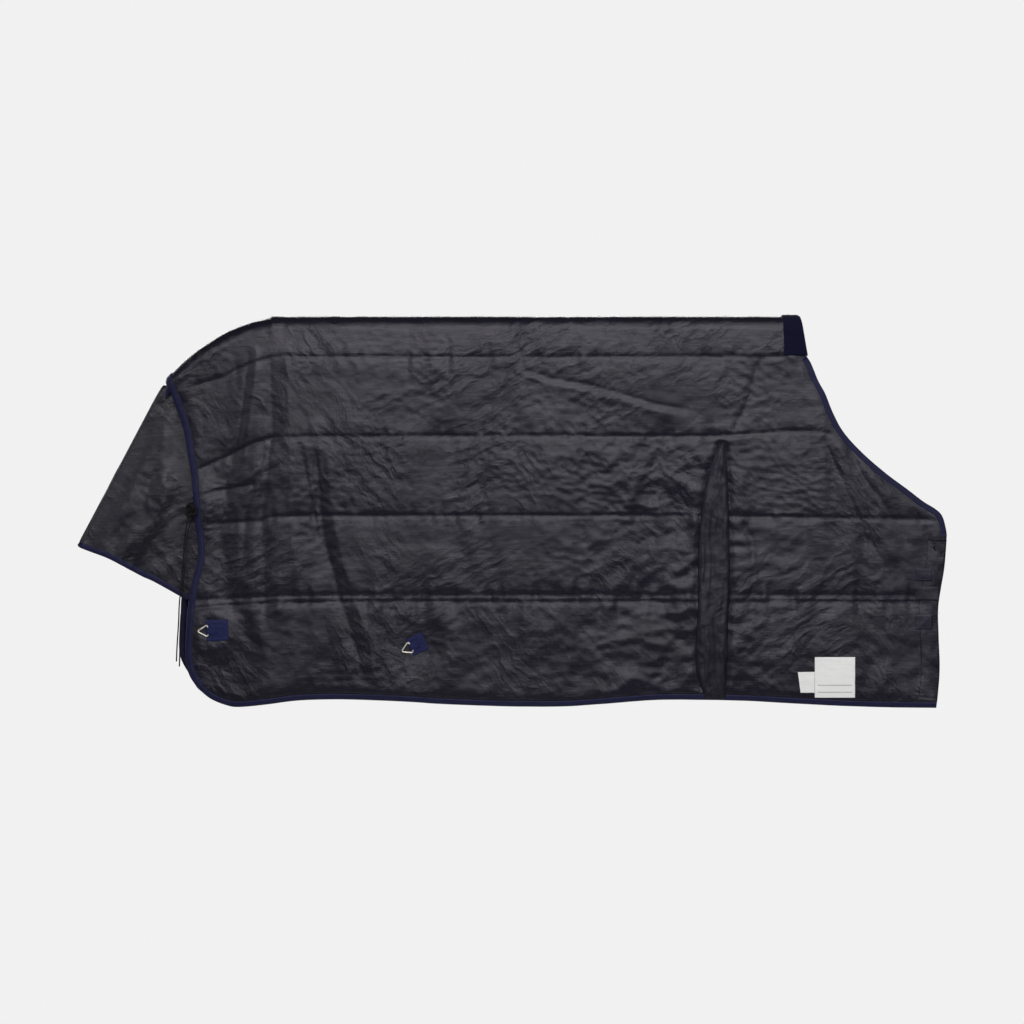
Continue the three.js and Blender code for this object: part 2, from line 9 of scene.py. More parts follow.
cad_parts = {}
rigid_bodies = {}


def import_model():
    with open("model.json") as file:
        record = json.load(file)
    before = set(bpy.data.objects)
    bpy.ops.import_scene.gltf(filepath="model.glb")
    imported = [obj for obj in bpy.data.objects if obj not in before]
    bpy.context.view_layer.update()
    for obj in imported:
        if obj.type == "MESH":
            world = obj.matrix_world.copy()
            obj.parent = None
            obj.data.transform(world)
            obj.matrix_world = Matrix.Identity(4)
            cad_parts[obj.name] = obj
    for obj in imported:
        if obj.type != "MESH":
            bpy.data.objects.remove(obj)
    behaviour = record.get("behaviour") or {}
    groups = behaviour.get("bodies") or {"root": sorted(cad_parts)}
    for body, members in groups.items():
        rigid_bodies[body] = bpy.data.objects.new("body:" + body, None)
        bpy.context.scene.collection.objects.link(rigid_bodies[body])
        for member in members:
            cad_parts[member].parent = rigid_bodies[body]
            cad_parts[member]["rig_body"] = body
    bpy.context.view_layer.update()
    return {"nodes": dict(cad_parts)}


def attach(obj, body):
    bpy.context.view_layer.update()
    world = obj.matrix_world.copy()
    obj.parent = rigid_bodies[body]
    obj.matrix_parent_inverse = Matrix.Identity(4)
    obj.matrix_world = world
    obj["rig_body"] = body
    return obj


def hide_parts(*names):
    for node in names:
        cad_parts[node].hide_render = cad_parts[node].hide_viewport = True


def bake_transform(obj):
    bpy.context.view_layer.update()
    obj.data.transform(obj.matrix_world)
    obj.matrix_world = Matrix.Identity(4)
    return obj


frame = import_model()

bl_info = {
    "name": "Turnout rug on a rail",
    "version": (1, 0, 0),
    "blender": (4, 5, 0),
    "location": "View3D > Sidebar > Rug",
    "description": "Quilted horse rug hung inside out over a rail, with its fittings",
    "category": "Object",
}

MM = 0.001

# ------------------------------------------------------------------ cut of the rug, mm
R = 32.9  # lining outside, radius over the rail and |y| of a hanging half
SHELL_IN = 23.3
WADDING_IN, WADDING_OUT, WADDING_LEAST = 24.6, 30.2, 24.9  # inside, full, and at the quilting
RING_Y = 37.75  # |y| of the leg strap rings' wire
BAR_X, BAR_Y, BAR_LOOP = 816, 18.3, 2.9  # chest buckles' bar, and the radius bent round it
KEEPER_Y = 19.4
UNROLL = R * (math.pi / 2 - 1)
RIDGE = [(-826, -130), (-800, -103), (-771, -77), (-738, -53), (-696, -27), (-646, -6),
         (-587, 8.5), (-560, 10.9), (620, 10.9)]
REAR_TOP, NECK_TOP = RIDGE[0], (587, 10.9)  # ends of the seam along the ridge
RUMP = [(-811.5, -163), (-796, -204), (-784, -243), (-776, -289), (-768, -336), (-763, -384),
        (-761, -402)]
REAR = [(-760, -418), (-757, -461), (-752, -502), (-754, -537), (-766, -584), (-773, -630),
        (-778, -690), (-779, -746), (-772, -786), (-753, -817)]
HEM = [(-753, -817), (-724, -841), (-690, -855), (-662, -859), (-600, -853), (-540, -845),
       (-480, -842), (-400, -842), (-300, -846), (-200, -852), (-60, -857), (60, -857),
       (140, -852), (230, -845), (310, -842), (450, -844), (550, -849), (660, -855),
       (780, -859), (889, -860)]
FRONT = [(889, -860), (896, -780), (894, -700), (893, -640), (900, -590), (907, -546),
         (912, -482)]
NECK = [(911, -468), (903, -437), (889, -421), (859, -402), (829, -379), (778, -341),
        (727, -297), (684, -250), (660, -207), (642, -163), (627, -135), (611, -96), (601, -80)]
GUSSET_REAR = [(376, -840), (358, -790), (354, -740), (356, -688), (360, -626), (360, -519),
               (367, -435), (376, -379), (391, -319), (408, -272)]
GUSSET_FRONT = [(421, -840), (423, -780), (428, -646), (430, -519), (428, -390), (424, -300),
                (418, -272)]
QUILT = {
    "q1": [(-778, -155), (-742, -139), (-700, -128), (-642, -101), (-587, -83), (-540, -81),
           (-200, -82), (200, -81), (552, -81)],
    "q2": [(-760, -335), (-678, -299), (-642, -281), (-576, -262), (-400, -258), (0, -257),
           (400, -257), (542, -247), (631, -248), (680, -258)],
    "q3": [(-748, -453), (-660, -449), (-593, -447), (-551, -436), (0, -434), (500, -436),
           (905, -444)],
    "q4a": [(-765, -622), (-500, -611), (0, -610), (500, -610), (892, -612)],
    "q4b": [(-770, -640), (-500, -627), (0, -626), (500, -626), (890, -627)],
}
DART = [(-751, -390), (-633, -366)]
FLAP_RIDGE = [(-826, -143), (-841, -154), (-900, -264), (-1000, -456), (-1016, -492)]
FLAP_HEM = [(-1018, -504), (-951, -530), (-884, -566), (-849, -582), (-778, -622)]
FLAP_INNER = [(-806, -150), (-786, -180), (-762, -230), (-742, -290), (-742, -368), (-747, -402),
              (-771, -410), (-771, -424), (-750, -437), (-735, -470), (-735, -560), (-758, -604),
              (-778, -622)]
FLAP_R = 8.3

# Long folds: points, height of the fold in mm (negative is a valley), half width in mm.
FOLDS = [
    ([(-595, -60), (-590, -257), (-604, -435), (-600, -700)], -9, 26),
    ([(-560, -40), (-548, -257), (-540, -435), (-520, -640)], 5, 20),
    ([(-600, -270), (-640, -432), (-646, -560)], -6, 14),
    ([(-644, -39), (-642, -99), (-662, -255), (-678, -337)], -5, 9),
    ([(-628, -39), (-624, -99), (-642, -255), (-658, -337)], 4, 12),
    ([(-744, -152), (-747, -255), (-756, -308)], -4, 8),
    ([(-496, -257), (-464, -501), (-436, -619), (-400, -737), (-378, -824)], -10, 17),
    ([(-470, -257), (-434, -501), (-404, -619), (-368, -737), (-346, -824)], 6, 20),
    ([(-529, -264), (-500, -386), (-478, -501)], -6, 11),
    ([(-589, -461), (-600, -608)], -4, 9),
    ([(-60, 5), (-31, -81), (-24, -106), (51, -128), (156, -161), (249, -179), (371, -199)], -4, 8),
    ([(-70, -20), (-40, -110), (51, -144), (156, -177), (249, -195), (371, -215)], 3, 12),
    ([(500, -81), (471, -192), (436, -257)], -5, 10),
    ([(453, -426), (482, -486), (482, -561), (471, -648)], -6, 12),
    ([(629, -250), (682, -357), (729, -490), (787, -566)], -6, 12),
    ([(655, -250), (708, -350), (757, -480), (815, -556)], 4, 14),
    ([(693, -281), (751, -386), (833, -515)], -5, 11),
    ([(833, -408), (898, -537)], -4, 9),
]


# ------------------------------------------------------------------ shape helpers
def spline(points, count):
    """Catmull-Rom line through the points, resampled evenly by length."""
    p = np.array(points, float)
    ends = np.vstack([2 * p[0] - p[1], p, 2 * p[-1] - p[-2]])
    t = np.linspace(0, 1, 12, endpoint=False)[:, None]
    out = []
    for i in range(1, len(ends) - 2):
        a, b, c, d = ends[i - 1:i + 3]
        out.append(0.5 * (2 * b + (c - a) * t + (2 * a - 5 * b + 4 * c - d) * t ** 2
                          + (3 * b - a - 3 * c + d) * t ** 3))
    out.append(p[-1:])
    return even(np.vstack(out), count)


def even(line, count):
    """The same line with evenly spaced points."""
    step = np.r_[0, np.cumsum(np.linalg.norm(np.diff(line, axis=0), axis=1))]
    at = np.linspace(0, step[-1], count)
    return np.stack([np.interp(at, step, line[:, k]) for k in range(line.shape[1])], 1)


def length_of(line):
    return float(np.linalg.norm(np.diff(np.array(line, float), axis=0), axis=1).sum())


_ridge = spline(RIDGE, 900)


def ridge_z(x):
    return np.interp(x, _ridge[:, 0], _ridge[:, 1])


def unroll(points):
    """Outline points (x, z) as (x, unrolled height)."""
    out = []
    for x, z in points:
        zc = ridge_z(x) - R
        d = R * math.acos(min(1, max(-1, (z - zc) / R))) if z > zc else R * math.pi / 2 + zc - z
        out.append((x, ridge_z(x) - d))
    return np.array(out)


def place(x, w, r, side):
    """Point of a half at x and unrolled height w, at radius r, in metres."""
    x, w, r = np.broadcast_arrays(np.asarray(x, float), w, r)
    top = ridge_z(x)
    d = np.maximum(top - w, 0.0)
    a = np.minimum(d / R, math.pi / 2)
    y = side * r * np.sin(a)
    z = top - R + r * np.cos(a) - np.maximum(d - R * math.pi / 2, 0)
    return np.stack([x, y, z], -1) * MM


def noise(x, y, seed):
    """Smooth value noise from -1 to 1 on a unit lattice."""
    table = np.random.RandomState(seed).uniform(-1, 1, (128, 128))
    xi, yi = np.floor(x).astype(int), np.floor(y).astype(int)
    fx, fy = x - xi, y - yi
    sx, sy = fx ** 3 * (fx * (6 * fx - 15) + 10), fy ** 3 * (fy * (6 * fy - 15) + 10)
    g = lambda i, j: table[(xi + i) % 128, (yi + j) % 128]
    return ((g(0, 0) * (1 - sx) + g(1, 0) * sx) * (1 - sy)
            + (g(0, 1) * (1 - sx) + g(1, 1) * sx) * sy)


def cells(x, y, seed):
    """Distance to the nearest scattered point, about 0 to 1, with crisp creases between cells."""
    rs = np.random.RandomState(seed)
    jx, jy = rs.uniform(0, 1, (64, 64)), rs.uniform(0, 1, (64, 64))
    xi, yi = np.floor(x).astype(int), np.floor(y).astype(int)
    best = np.full(np.shape(x), 9.0)
    for i in (-1, 0, 1):
        for j in (-1, 0, 1):
            px = xi + i + jx[(xi + i) % 64, (yi + j) % 64]
            py = yi + j + jy[(xi + i) % 64, (yi + j) % 64]
            best = np.minimum(best, np.hypot(x - px, y - py))
    return best


def to_line(x, z, points):
    """Distance to an open line, and how far along it, 0 to 1, the nearest point lies."""
    p = np.array(points, float)
    total, run = length_of(p), 0.0
    best = np.full(x.shape, 1e9)
    along = np.zeros(x.shape)
    for a, b in zip(p[:-1], p[1:]):
        ab = b - a
        n = float(np.hypot(*ab))
        t = np.clip(((x - a[0]) * ab[0] + (z - a[1]) * ab[1]) / n ** 2, 0, 1)
        d = np.hypot(x - a[0] - t * ab[0], z - a[1] - t * ab[1])
        near = d < best
        best = np.where(near, d, best)
        along = np.where(near, (run + t * n) / total, along)
        run += n
    return best, along


def ramp(x, a, b):
    t = np.clip((x - a) / (b - a), 0, 1)
    return t * t * (3 - 2 * t)


EDGE = RUMP + REAR + HEM[1:] + FRONT[1:] + NECK
FREE_EDGE = spline(EDGE, 420)
QUILT_LINES = {k: spline(v, 60) for k, v in QUILT.items()}
GUSSET_LINES = [spline(GUSSET_REAR, 30), spline(GUSSET_FRONT, 30)]


def in_gusset(x, z):
    """1 in the middle of the gusset, 0 outside it."""
    rear = np.interp(-z, -GUSSET_LINES[0][::-1, 1], GUSSET_LINES[0][::-1, 0])
    front = np.interp(-z, -GUSSET_LINES[1][::-1, 1], GUSSET_LINES[1][::-1, 0])
    return ramp(x, rear - 2, rear + 7) * (1 - ramp(x, front - 7, front + 2)) * ramp(-z, 262, 285)


class Drape:
    """How far a half stands off its flat plane, in mm, at x and height z."""

    def __init__(self, seed, folds, pucker):
        self.seed, self.folds, self.pucker = seed, folds, pucker

    def cloth(self, x, z):
        """Folds of the whole thickness."""
        s = self.seed
        wx = x + 26 * noise(x / 150, z / 150, s + 1)
        wz = z + 26 * noise(x / 150, z / 150, s + 2)
        out = 4.0 * noise(wx / 240, wz / 420, s + 3) + 2.2 * noise(wx / 95, wz / 170, s + 4)
        lower = ramp(-z, 120, 420)
        out = out + lower * (3.4 * noise(wx / 70, z / 620, s + 9)
                             + 1.7 * noise(wx / 33, z / 380, s + 10))
        out = out + 4 - 10 * ramp(-x, 585, 700)
        for points, high, wide in FOLDS:
            d, t = to_line(wx * 0.25 + x * 0.75, wz * 0.25 + z * 0.75, points)
            fade = ramp(t, -0.001, 0.12) * (1 - ramp(t, 0.86, 1.001))
            out = out + 0.5 * self.folds * high * fade * np.exp(-(d / (0.62 * wide)) ** 1.15)
        # crumples, denser in the middle of the barrel and beside the gusset
        dense = (0.30 + 0.9 * np.exp(-((x - 250) / 150) ** 2) * ramp(-z, 160, 330)
                 + 0.8 * np.exp(-((x - 395) / 75) ** 2) * ramp(-z, 240, 330)
                 + 0.30 * ramp(-z, 430, 700) + 0.25 * ramp(noise(x / 210, z / 150, s + 8), 0, 1))
        lean = 0.35 * z
        c1 = cells((wx + lean) / 88, (wz - 0.2 * x) / 62, s + 6)
        c2 = cells((wx - lean) / 43, wz / 33, s + 7)
        dense = dense * (1 - 0.92 * in_gusset(x, z))
        out = out + dense * (3.6 * (c1 - 0.42) + 2.3 * (c2 - 0.42))
        out = out * ramp(ridge_z(x) - z, 22, 110)
        out = out * (1 - 0.9 * ramp(x, 640, 760) * ramp(-z, 440, 520) * (out < 0))
        for cx, cz in STILL:
            out = out * ramp(np.hypot(x - cx, z - cz), 30, 85)
        low = -17 + 12 * ramp(-x, 690, 760)
        return np.where(out < 0, low * np.tanh(out / low), 19 * np.tanh(out / 19))

    def quilt(self, x, z):
        """Swell of the wadding between the sewn lines, with puckers at them."""
        s = self.seed
        swell = np.full(x.shape, 2.2)
        for line in QUILT_LINES.values():
            d, t = to_line(x, z, line)
            inside = ramp(t, -0.01, 0.01) * (1 - ramp(t, 0.995, 1.001))
            swell = swell - inside * (1.8 * np.exp(-(d / 4.2) ** 2) + 0.9 * np.exp(-(d / 17) ** 2))
            gather = noise(x / 13, z / 60, s + 11) + 0.8 * noise(x / 27, z / 90, s + 12)
            swell = swell + self.pucker * 1.7 * gather * inside * np.exp(-d / 20)
        d = to_line(x, z, DART)[0]
        swell = swell - 3 * np.exp(-(d / 7) ** 2)
        for line in GUSSET_LINES:
            d = to_line(x, z, line)[0]
            gather = noise(x / 60, z / 14, s + 13) + 0.6 * noise(x / 60, z / 30, s + 14)
            swell = swell - 3.4 * np.exp(-(d / 6) ** 2)
            swell = swell + self.pucker * 1.5 * gather * np.exp(-d / 26)
        wx = x + 9 * noise(x / 50, z / 50, s + 18)
        wz = z + 9 * noise(x / 50, z / 50, s + 19)
        fine = cells((wx + 0.3 * wz) / 21, wz / 15, s + 15) - 0.42
        some = 0.45 + 0.9 * ramp(noise(x / 120, z / 90, s + 16), -0.2, 0.8)
        some = some + 0.7 * np.exp(-((x - 250) / 160) ** 2) * ramp(-z, 200, 330)
        inside = in_gusset(x, z)
        swell = swell + 1.25 * some * fine * (1 - inside) - 3.4 * inside
        for cx, cz in STILL:
            swell = swell * ramp(np.hypot(x - cx, z - cz), 14, 48)
        e = to_line(x, z, FREE_EDGE)[0]
        swell = swell * ramp(e, 2, 34) - 3.0 * np.exp(-(e / 13) ** 2)
        swell = swell + 0.9 * noise(x / 16 + z / 16, z / 16 - x / 16, s + 17) * np.exp(-e / 16)
        # seam of the two halves along the ridge
        top = ridge_z(x) - z
        return np.maximum(swell - 1.6 * np.exp(-(top / 5) ** 2), -6.5)


# fittings that hold the cloth flat: leg strap rings and the fillet string
STILL = [(-718, -690), (-268, -721), (-765, -408)]
# seed, share of the long folds, and puckering, for the near half and the off one
DRAPE = {-1: Drape(100, 1.0, 1.0), 1: Drape(400, 0.7, 0.9)}


def coons(top, bottom, left, right, nu, nv):
    """Grid filled from its four edges; rows run from the top to the bottom."""
    t, b = even(np.array(top, float), nu), even(np.array(bottom, float), nu)
    l, r = even(np.array(left, float), nv), even(np.array(right, float), nv)
    u, v = np.linspace(0, 1, nu)[None, :, None], np.linspace(0, 1, nv)[:, None, None]
    return ((1 - v) * t[None] + v * b[None] + (1 - u) * l[:, None] + u * r[:, None]
            - ((1 - u) * (1 - v) * t[0] + u * (1 - v) * t[-1]
               + (1 - u) * v * b[0] + u * v * b[-1]))


def rear_edge(side):
    """Rump and rear edge of a half; the off one hangs a little further back low down."""
    line = np.array(RUMP + REAR, float)
    if side > 0:
        line[:, 0] -= 20 * ramp(-line[:, 1], 520, 610) * (1 - ramp(-line[:, 1], 730, 815))
    return [tuple(p) for p in line]


def dock_line(depths):
    """Short edge from the rear end of the ridge down to the rump, unrolled."""
    line = unroll([(REAR_TOP[0] + 0.44 * h, REAR_TOP[1] - h) for h in depths])
    line[0] = REAR_TOP
    return line


def half_grid(pitch, side=-1):
    """Grid of one half in (x, unrolled height), pitch in mm."""
    left = np.vstack([dock_line((0, 3, 8, 15, 23)), unroll(spline(rear_edge(side), 150))])
    right = np.vstack([unroll([(NECK_TOP[0] + 0.15 * h, NECK_TOP[1] - h)
                               for h in (0, 4, 12, 24, 33, 50)]),
                       unroll(spline(NECK[::-1], 90)), unroll(spline(FRONT[::-1], 60))])
    top = np.array([(x, ridge_z(x)) for x in np.linspace(REAR_TOP[0], NECK_TOP[0], 300)])
    bottom = unroll(spline(HEM, 260))
    return coons(top, bottom, left, right, 2 * int(780 / pitch) + 1, 2 * int(480 / pitch) + 1)


# ------------------------------------------------------------------ mesh helpers
ENDING = {"lining_nylon": "nylon", "shell_fabric": "fabric", "filling": "wadding",
          "navy_binding": "tape", "withers_fleece": "fleece", "label": "satin",
          "ring_metal": "wire", "buckle_metal": "wire", "cord": "cord",
          "navy_webbing": "webbing", "chest_webbing": "webbing"}


def mesh_piece(name, verts, faces, material, body, slot, smooth=True):
    if name in frame["nodes"]:
        name = f"{name}_{ENDING[slot]}"
    mesh = bpy.data.meshes.new(name)
    mesh.from_pydata(np.asarray(verts, float).reshape(-1, 3).tolist(), [], faces)
    mesh.update()
    if smooth:
        mesh.polygons.foreach_set("use_smooth", [True] * len(mesh.polygons))
    obj = bpy.data.objects.new(name, mesh)
    bpy.context.scene.collection.objects.link(obj)
    mesh.materials.append(material)
    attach(obj, body)
    return obj


def grid_faces(nv, nu, base=0, flip=False):
    i = (np.arange(nv - 1)[:, None] * nu + np.arange(nu - 1)[None]).ravel() + base
    q = np.stack([i, i + 1, i + nu + 1, i + nu], 1)
    return (q[:, ::-1] if flip else q).tolist()


def border(nv, nu):
    """Vertex numbers round a grid's edge, in order."""
    top = list(range(nu))
    right = [j * nu + nu - 1 for j in range(1, nv)]
    bottom = [(nv - 1) * nu + i for i in range(nu - 2, -1, -1)]
    left = [j * nu for j in range(nv - 2, 0, -1)]
    return top + right + bottom + left


def signed_volume(v, faces):
    """Six times the enclosed volume, negative where the faces turn inward."""
    t = np.array([(f[0], f[k], f[k + 1]) for f in faces for k in range(1, len(f) - 1)])
    a, b, c = v[t[:, 0]], v[t[:, 1]], v[t[:, 2]]
    return np.einsum("ij,ij->i", a, np.cross(b, c)).sum()


def cloth_piece(name, outer, inner, material, body, slot, smooth=True):
    """Closed sheet between two grids of the same size."""
    nv, nu = outer.shape[:2]
    n = nv * nu
    verts = np.vstack([outer.reshape(-1, 3), inner.reshape(-1, 3)])
    faces = grid_faces(nv, nu) + grid_faces(nv, nu, n, True)
    ring = border(nv, nu)
    for a, b in zip(ring, ring[1:] + ring[:1]):
        faces.append([b, a, a + n, b + n])
    if signed_volume(verts, faces) < 0:
        faces = [f[::-1] for f in faces]
    return mesh_piece(name, verts, faces, material, body, slot, smooth)


def fine_cloth(name, outer, inner, material, body, slot):
    """Closed sheet whose back has every second point of its face."""
    nv, nu = outer.shape[:2]
    mv, mu = inner.shape[:2]
    n = nv * nu
    verts = np.vstack([outer.reshape(-1, 3), inner.reshape(-1, 3)])
    faces = grid_faces(nv, nu) + grid_faces(mv, mu, n, True)
    rim, back = border(nv, nu), [b + n for b in border(mv, mu)]
    k = len(back)
    for i in range(k):
        a, b = back[i], back[(i + 1) % k]
        p, q, r = rim[2 * i], rim[2 * i + 1], rim[(2 * i + 2) % len(rim)]
        faces += [[q, p, a], [q, a, b], [r, q, b]]
    if signed_volume(verts, faces) < 0:
        faces = [f[::-1] for f in faces]
    return mesh_piece(name, verts, faces, material, body, slot)


def cap(ring, first):
    """Triangles that close a ring of points, also one with a hollow in it, in the ring's turn."""
    p = np.asarray(ring, float)
    q = np.roll(p, -1, 0)
    normal = np.cross(p, q).sum(0)
    out = []
    for t in tessellate_polygon([[Vector(v) for v in p]]):
        a, b, c = p[list(t)]
        turn = np.cross(b - a, c - a).dot(normal)
        out.append([first + i for i in (t if turn > 0 else t[::-1])])
    return out


def loft_piece(name, rings, material, body, slot, closed=False, smooth=True):
    """Closed body through rings of points (count, ring, 3)."""
    rings = np.asarray(rings, float)
    m, n = rings.shape[:2]
    verts = rings.reshape(-1, 3)
    faces = []
    for i in range(m if closed else m - 1):
        a, b = i * n, ((i + 1) % m) * n
        for j in range(n):
            k = (j + 1) % n
            faces.append([a + j, b + j, b + k, a + k])
    if not closed:
        faces += [f[::-1] for f in cap(rings[0], 0)]
        faces += cap(rings[-1], (m - 1) * n)
    if signed_volume(verts, faces) < 0:
        faces = [f[::-1] for f in faces]
    return mesh_piece(name, verts, faces, material, body, slot, smooth)


def tube_rings(path, radius, sides=12, closed=False, flat=1.0):
    """Rings of a round or flattened tube along a path, turned as little as possible."""
    p = np.asarray(path, float)
    if closed:
        tan = np.roll(p, -1, 0) - np.roll(p, 1, 0)
    else:
        tan = np.gradient(p, axis=0)
    tan /= np.linalg.norm(tan, axis=1)[:, None]
    ref = np.array([0, 1.0, 0]) if abs(tan[0][1]) < 0.9 else np.array([1.0, 0, 0])
    n = ref - tan[0] * ref.dot(tan[0])
    rings = []
    a = np.linspace(0, 2 * math.pi, sides, endpoint=False)
    for q, t in zip(p, tan):
        n = n - t * n.dot(t)
        n /= np.linalg.norm(n)
        b = np.cross(t, n)
        rings.append(q + radius * (np.cos(a)[:, None] * n * flat + np.sin(a)[:, None] * b))
    return np.array(rings)


def tube_piece(name, path, radius, material, body, slot, closed=False, sides=12, flat=1.0):
    rings = tube_rings(path, radius, sides, closed, flat)
    if not closed:  # rounded ends
        p = np.asarray(path, float)

        def end_ring(at, inner, ring):
            out = (at - inner) / np.linalg.norm(at - inner)
            return (at + (ring - at) * 0.6) + out * radius * 0.4

        head, tail = end_ring(p[0], p[1], rings[0]), end_ring(p[-1], p[-2], rings[-1])
        rings = np.vstack([head[None], rings, tail[None]])
    return loft_piece(name, rings, material, body, slot, closed)


# ------------------------------------------------------------------ materials
def nodes_of(mat):
    mat.use_nodes = True
    t = mat.node_tree
    return t, t.nodes["Principled BSDF"]


def add_node(tree, kind, inputs=None, **settings):
    """New node; inputs maps a socket to its value or to the output that feeds it."""
    made = tree.nodes.new(kind)
    for key, value in settings.items():
        setattr(made, key, value)
    for key, value in (inputs or {}).items():
        if isinstance(value, bpy.types.NodeSocket):
            tree.links.new(value, made.inputs[key])
        else:
            made.inputs[key].default_value = value
    return made


def weave_group():
    """Woven cloth: thread lines two ways, streaks along the weft that lighten and darken its colour
    (partly the threads' own tone, partly painted sheen), slubs, and fine crumples.
    """
    g = bpy.data.node_groups.get("woven_cloth")
    if g:
        return g
    g = bpy.data.node_groups.new("woven_cloth", "ShaderNodeTree")
    io = g.interface
    for name, kind, value in (("Colour", "NodeSocketColor", (0.05, 0.05, 0.06, 1)),
                              ("Thread pitch", "NodeSocketFloat", 0.0011),
                              ("Streak", "NodeSocketFloat", 0.5),
                              ("Roughness", "NodeSocketFloat", 0.45),
                              ("Relief", "NodeSocketFloat", 0.3),
                              ("Crumple", "NodeSocketFloat", 0.0)):
        s = io.new_socket(name, in_out="INPUT", socket_type=kind)
        s.default_value = value
    for name, kind in (("Colour", "NodeSocketColor"), ("Roughness", "NodeSocketFloat"),
                       ("Normal", "NodeSocketVector")):
        io.new_socket(name, in_out="OUTPUT", socket_type=kind)
    gi, go = g.nodes.new("NodeGroupInput"), g.nodes.new("NodeGroupOutput")
    here = g.nodes.new("ShaderNodeTexCoord").outputs["Object"]

    def calc(operation, *values):
        return add_node(g, "ShaderNodeMath", dict(enumerate(values)),
                        operation=operation).outputs[0]

    def vector(operation, values):
        return add_node(g, "ShaderNodeVectorMath", values, operation=operation).outputs[0]

    def noise_at(where, scale, **more):
        return add_node(g, "ShaderNodeTexNoise", {"Vector": where, "Scale": scale, **more}).outputs

    # thread lines
    per_thread = calc("DIVIDE", 1, gi.outputs["Thread pitch"])
    threads = add_node(g, "ShaderNodeSeparateXYZ",
                       {0: vector("SCALE", {0: here, "Scale": per_thread})}).outputs
    waves = [calc("SINE", calc("MULTIPLY", threads[axis], 6.2832)) for axis in ("X", "Z")]
    weave = calc("MULTIPLY", *waves)
    # streaks along X: partly the threads' own tone, partly painted sheen, as lighter and darker
    # colour; the lighter streaks are also smoother
    drawn = add_node(g, "ShaderNodeMapping", {"Vector": here, "Scale": (20, 20, 270)}).outputs[0]
    broad = calc("MULTIPLY", noise_at(here, 9, Detail=5)["Fac"], 0.35)
    streaks = calc("MULTIPLY_ADD", noise_at(drawn, 1, Detail=4)["Fac"], 0.65, broad)
    amount = calc("MULTIPLY", calc("SUBTRACT", streaks, 0.5), gi.outputs["Streak"])
    # painted sheen: the colour is raised along the lighter streaks and lowered along the darker ones
    tone_and_sheen_gain = calc("MULTIPLY_ADD", amount, 2.4, 1)
    g.links.new(vector("SCALE", {0: gi.outputs["Colour"], "Scale": tone_and_sheen_gain}), go.inputs["Colour"])
    g.links.new(calc("MULTIPLY_ADD", amount, -0.5, gi.outputs["Roughness"]),
                go.inputs["Roughness"])
    # crumples: two sets of long cells, one or the other by place, stronger in some spots
    warp = noise_at(here, 14, Detail=3)["Color"]
    pulled = vector("MULTIPLY_ADD", {0: warp, 1: (0.06, 0.06, 0.06), 2: here})
    sets = []
    for turn, grow in ((0.95, (1 / 15, 1 / 15, 1 / 42)), (-0.6, (1 / 14, 1 / 14, 1 / 46))):
        long = add_node(g, "ShaderNodeMapping",
                        {"Vector": pulled, "Scale": grow, "Rotation": (0, turn, 0)},
                        vector_type="TEXTURE").outputs[0]
        cell = add_node(g, "ShaderNodeTexVoronoi", {"Vector": long, "Scale": 1})
        rub = noise_at(long, 2.3, Detail=5, Roughness=0.6)["Fac"]
        sets.append(calc("MULTIPLY_ADD", rub, 0.8, cell.outputs["Distance"]))
    lean = add_node(g, "ShaderNodeMapRange", {"Value": noise_at(here, 3.1)["Fac"],
                                              "From Min": 0.42, "From Max": 0.58}).outputs[0]
    both = add_node(g, "ShaderNodeMix", {"Factor": lean, "A": sets[0], "B": sets[1]},
                    data_type="FLOAT").outputs[0]
    spots = add_node(g, "ShaderNodeMapRange", {"Value": noise_at(here, 5)["Fac"],
                                               "From Min": 0.4, "From Max": 0.62,
                                               "To Min": 0.22, "To Max": 1}).outputs[0]
    deep = calc("MULTIPLY", calc("MULTIPLY", both, spots), gi.outputs["Crumple"])
    crease = add_node(g, "ShaderNodeBump", {"Distance": 1.0, "Height": deep}).outputs[0]
    bump = add_node(g, "ShaderNodeBump",
                    {"Distance": 0.00032, "Normal": crease, "Strength": gi.outputs["Relief"],
                     "Height": calc("MULTIPLY_ADD", weave, 0.12, streaks)})
    g.links.new(bump.outputs[0], go.inputs["Normal"])
    return g


def cloth_material(name, colour, pitch, streak, rough, relief, sheen=0.0, spec=0.5, crumple=0.0):
    mat = bpy.data.materials.new(name)
    t, bsdf = nodes_of(mat)
    w = add_node(t, "ShaderNodeGroup",
                 {"Colour": (*colour, 1), "Thread pitch": pitch, "Streak": streak,
                  "Roughness": rough, "Relief": relief, "Crumple": crumple},
                 node_tree=weave_group())
    for given, taken in (("Colour", "Base Color"), ("Roughness", "Roughness"),
                         ("Normal", "Normal")):
        t.links.new(w.outputs[given], bsdf.inputs[taken])
    bsdf.inputs["Sheen Weight"].default_value = sheen
    bsdf.inputs["Sheen Roughness"].default_value = 0.4
    bsdf.inputs["Specular IOR Level"].default_value = spec
    bsdf.inputs["Specular Tint"].default_value = (0.94, 0.91, 1.0, 1)
    return mat


def metal_material(name, colour, rough):
    mat = bpy.data.materials.new(name)
    t, bsdf = nodes_of(mat)
    here = t.nodes.new("ShaderNodeTexCoord").outputs["Object"]
    fine = add_node(t, "ShaderNodeTexNoise", {"Vector": here, "Scale": 900, "Detail": 3})
    dull = add_node(t, "ShaderNodeMapRange", {"Value": fine.outputs["Fac"],
                                              "To Min": rough - 0.08, "To Max": rough + 0.14})
    t.links.new(dull.outputs[0], bsdf.inputs["Roughness"])
    broad = add_node(t, "ShaderNodeTexNoise", {"Vector": here, "Scale": 160})
    tone = add_node(t, "ShaderNodeValToRGB", {"Fac": broad.outputs["Fac"]})
    dark, light = tone.color_ramp.elements
    dark.color, dark.position = (*[c * 0.72 for c in colour], 1), 0.3
    light.color, light.position = (*colour, 1), 0.6
    t.links.new(tone.outputs[0], bsdf.inputs["Base Color"])
    bsdf.inputs["Metallic"].default_value = 1
    return mat


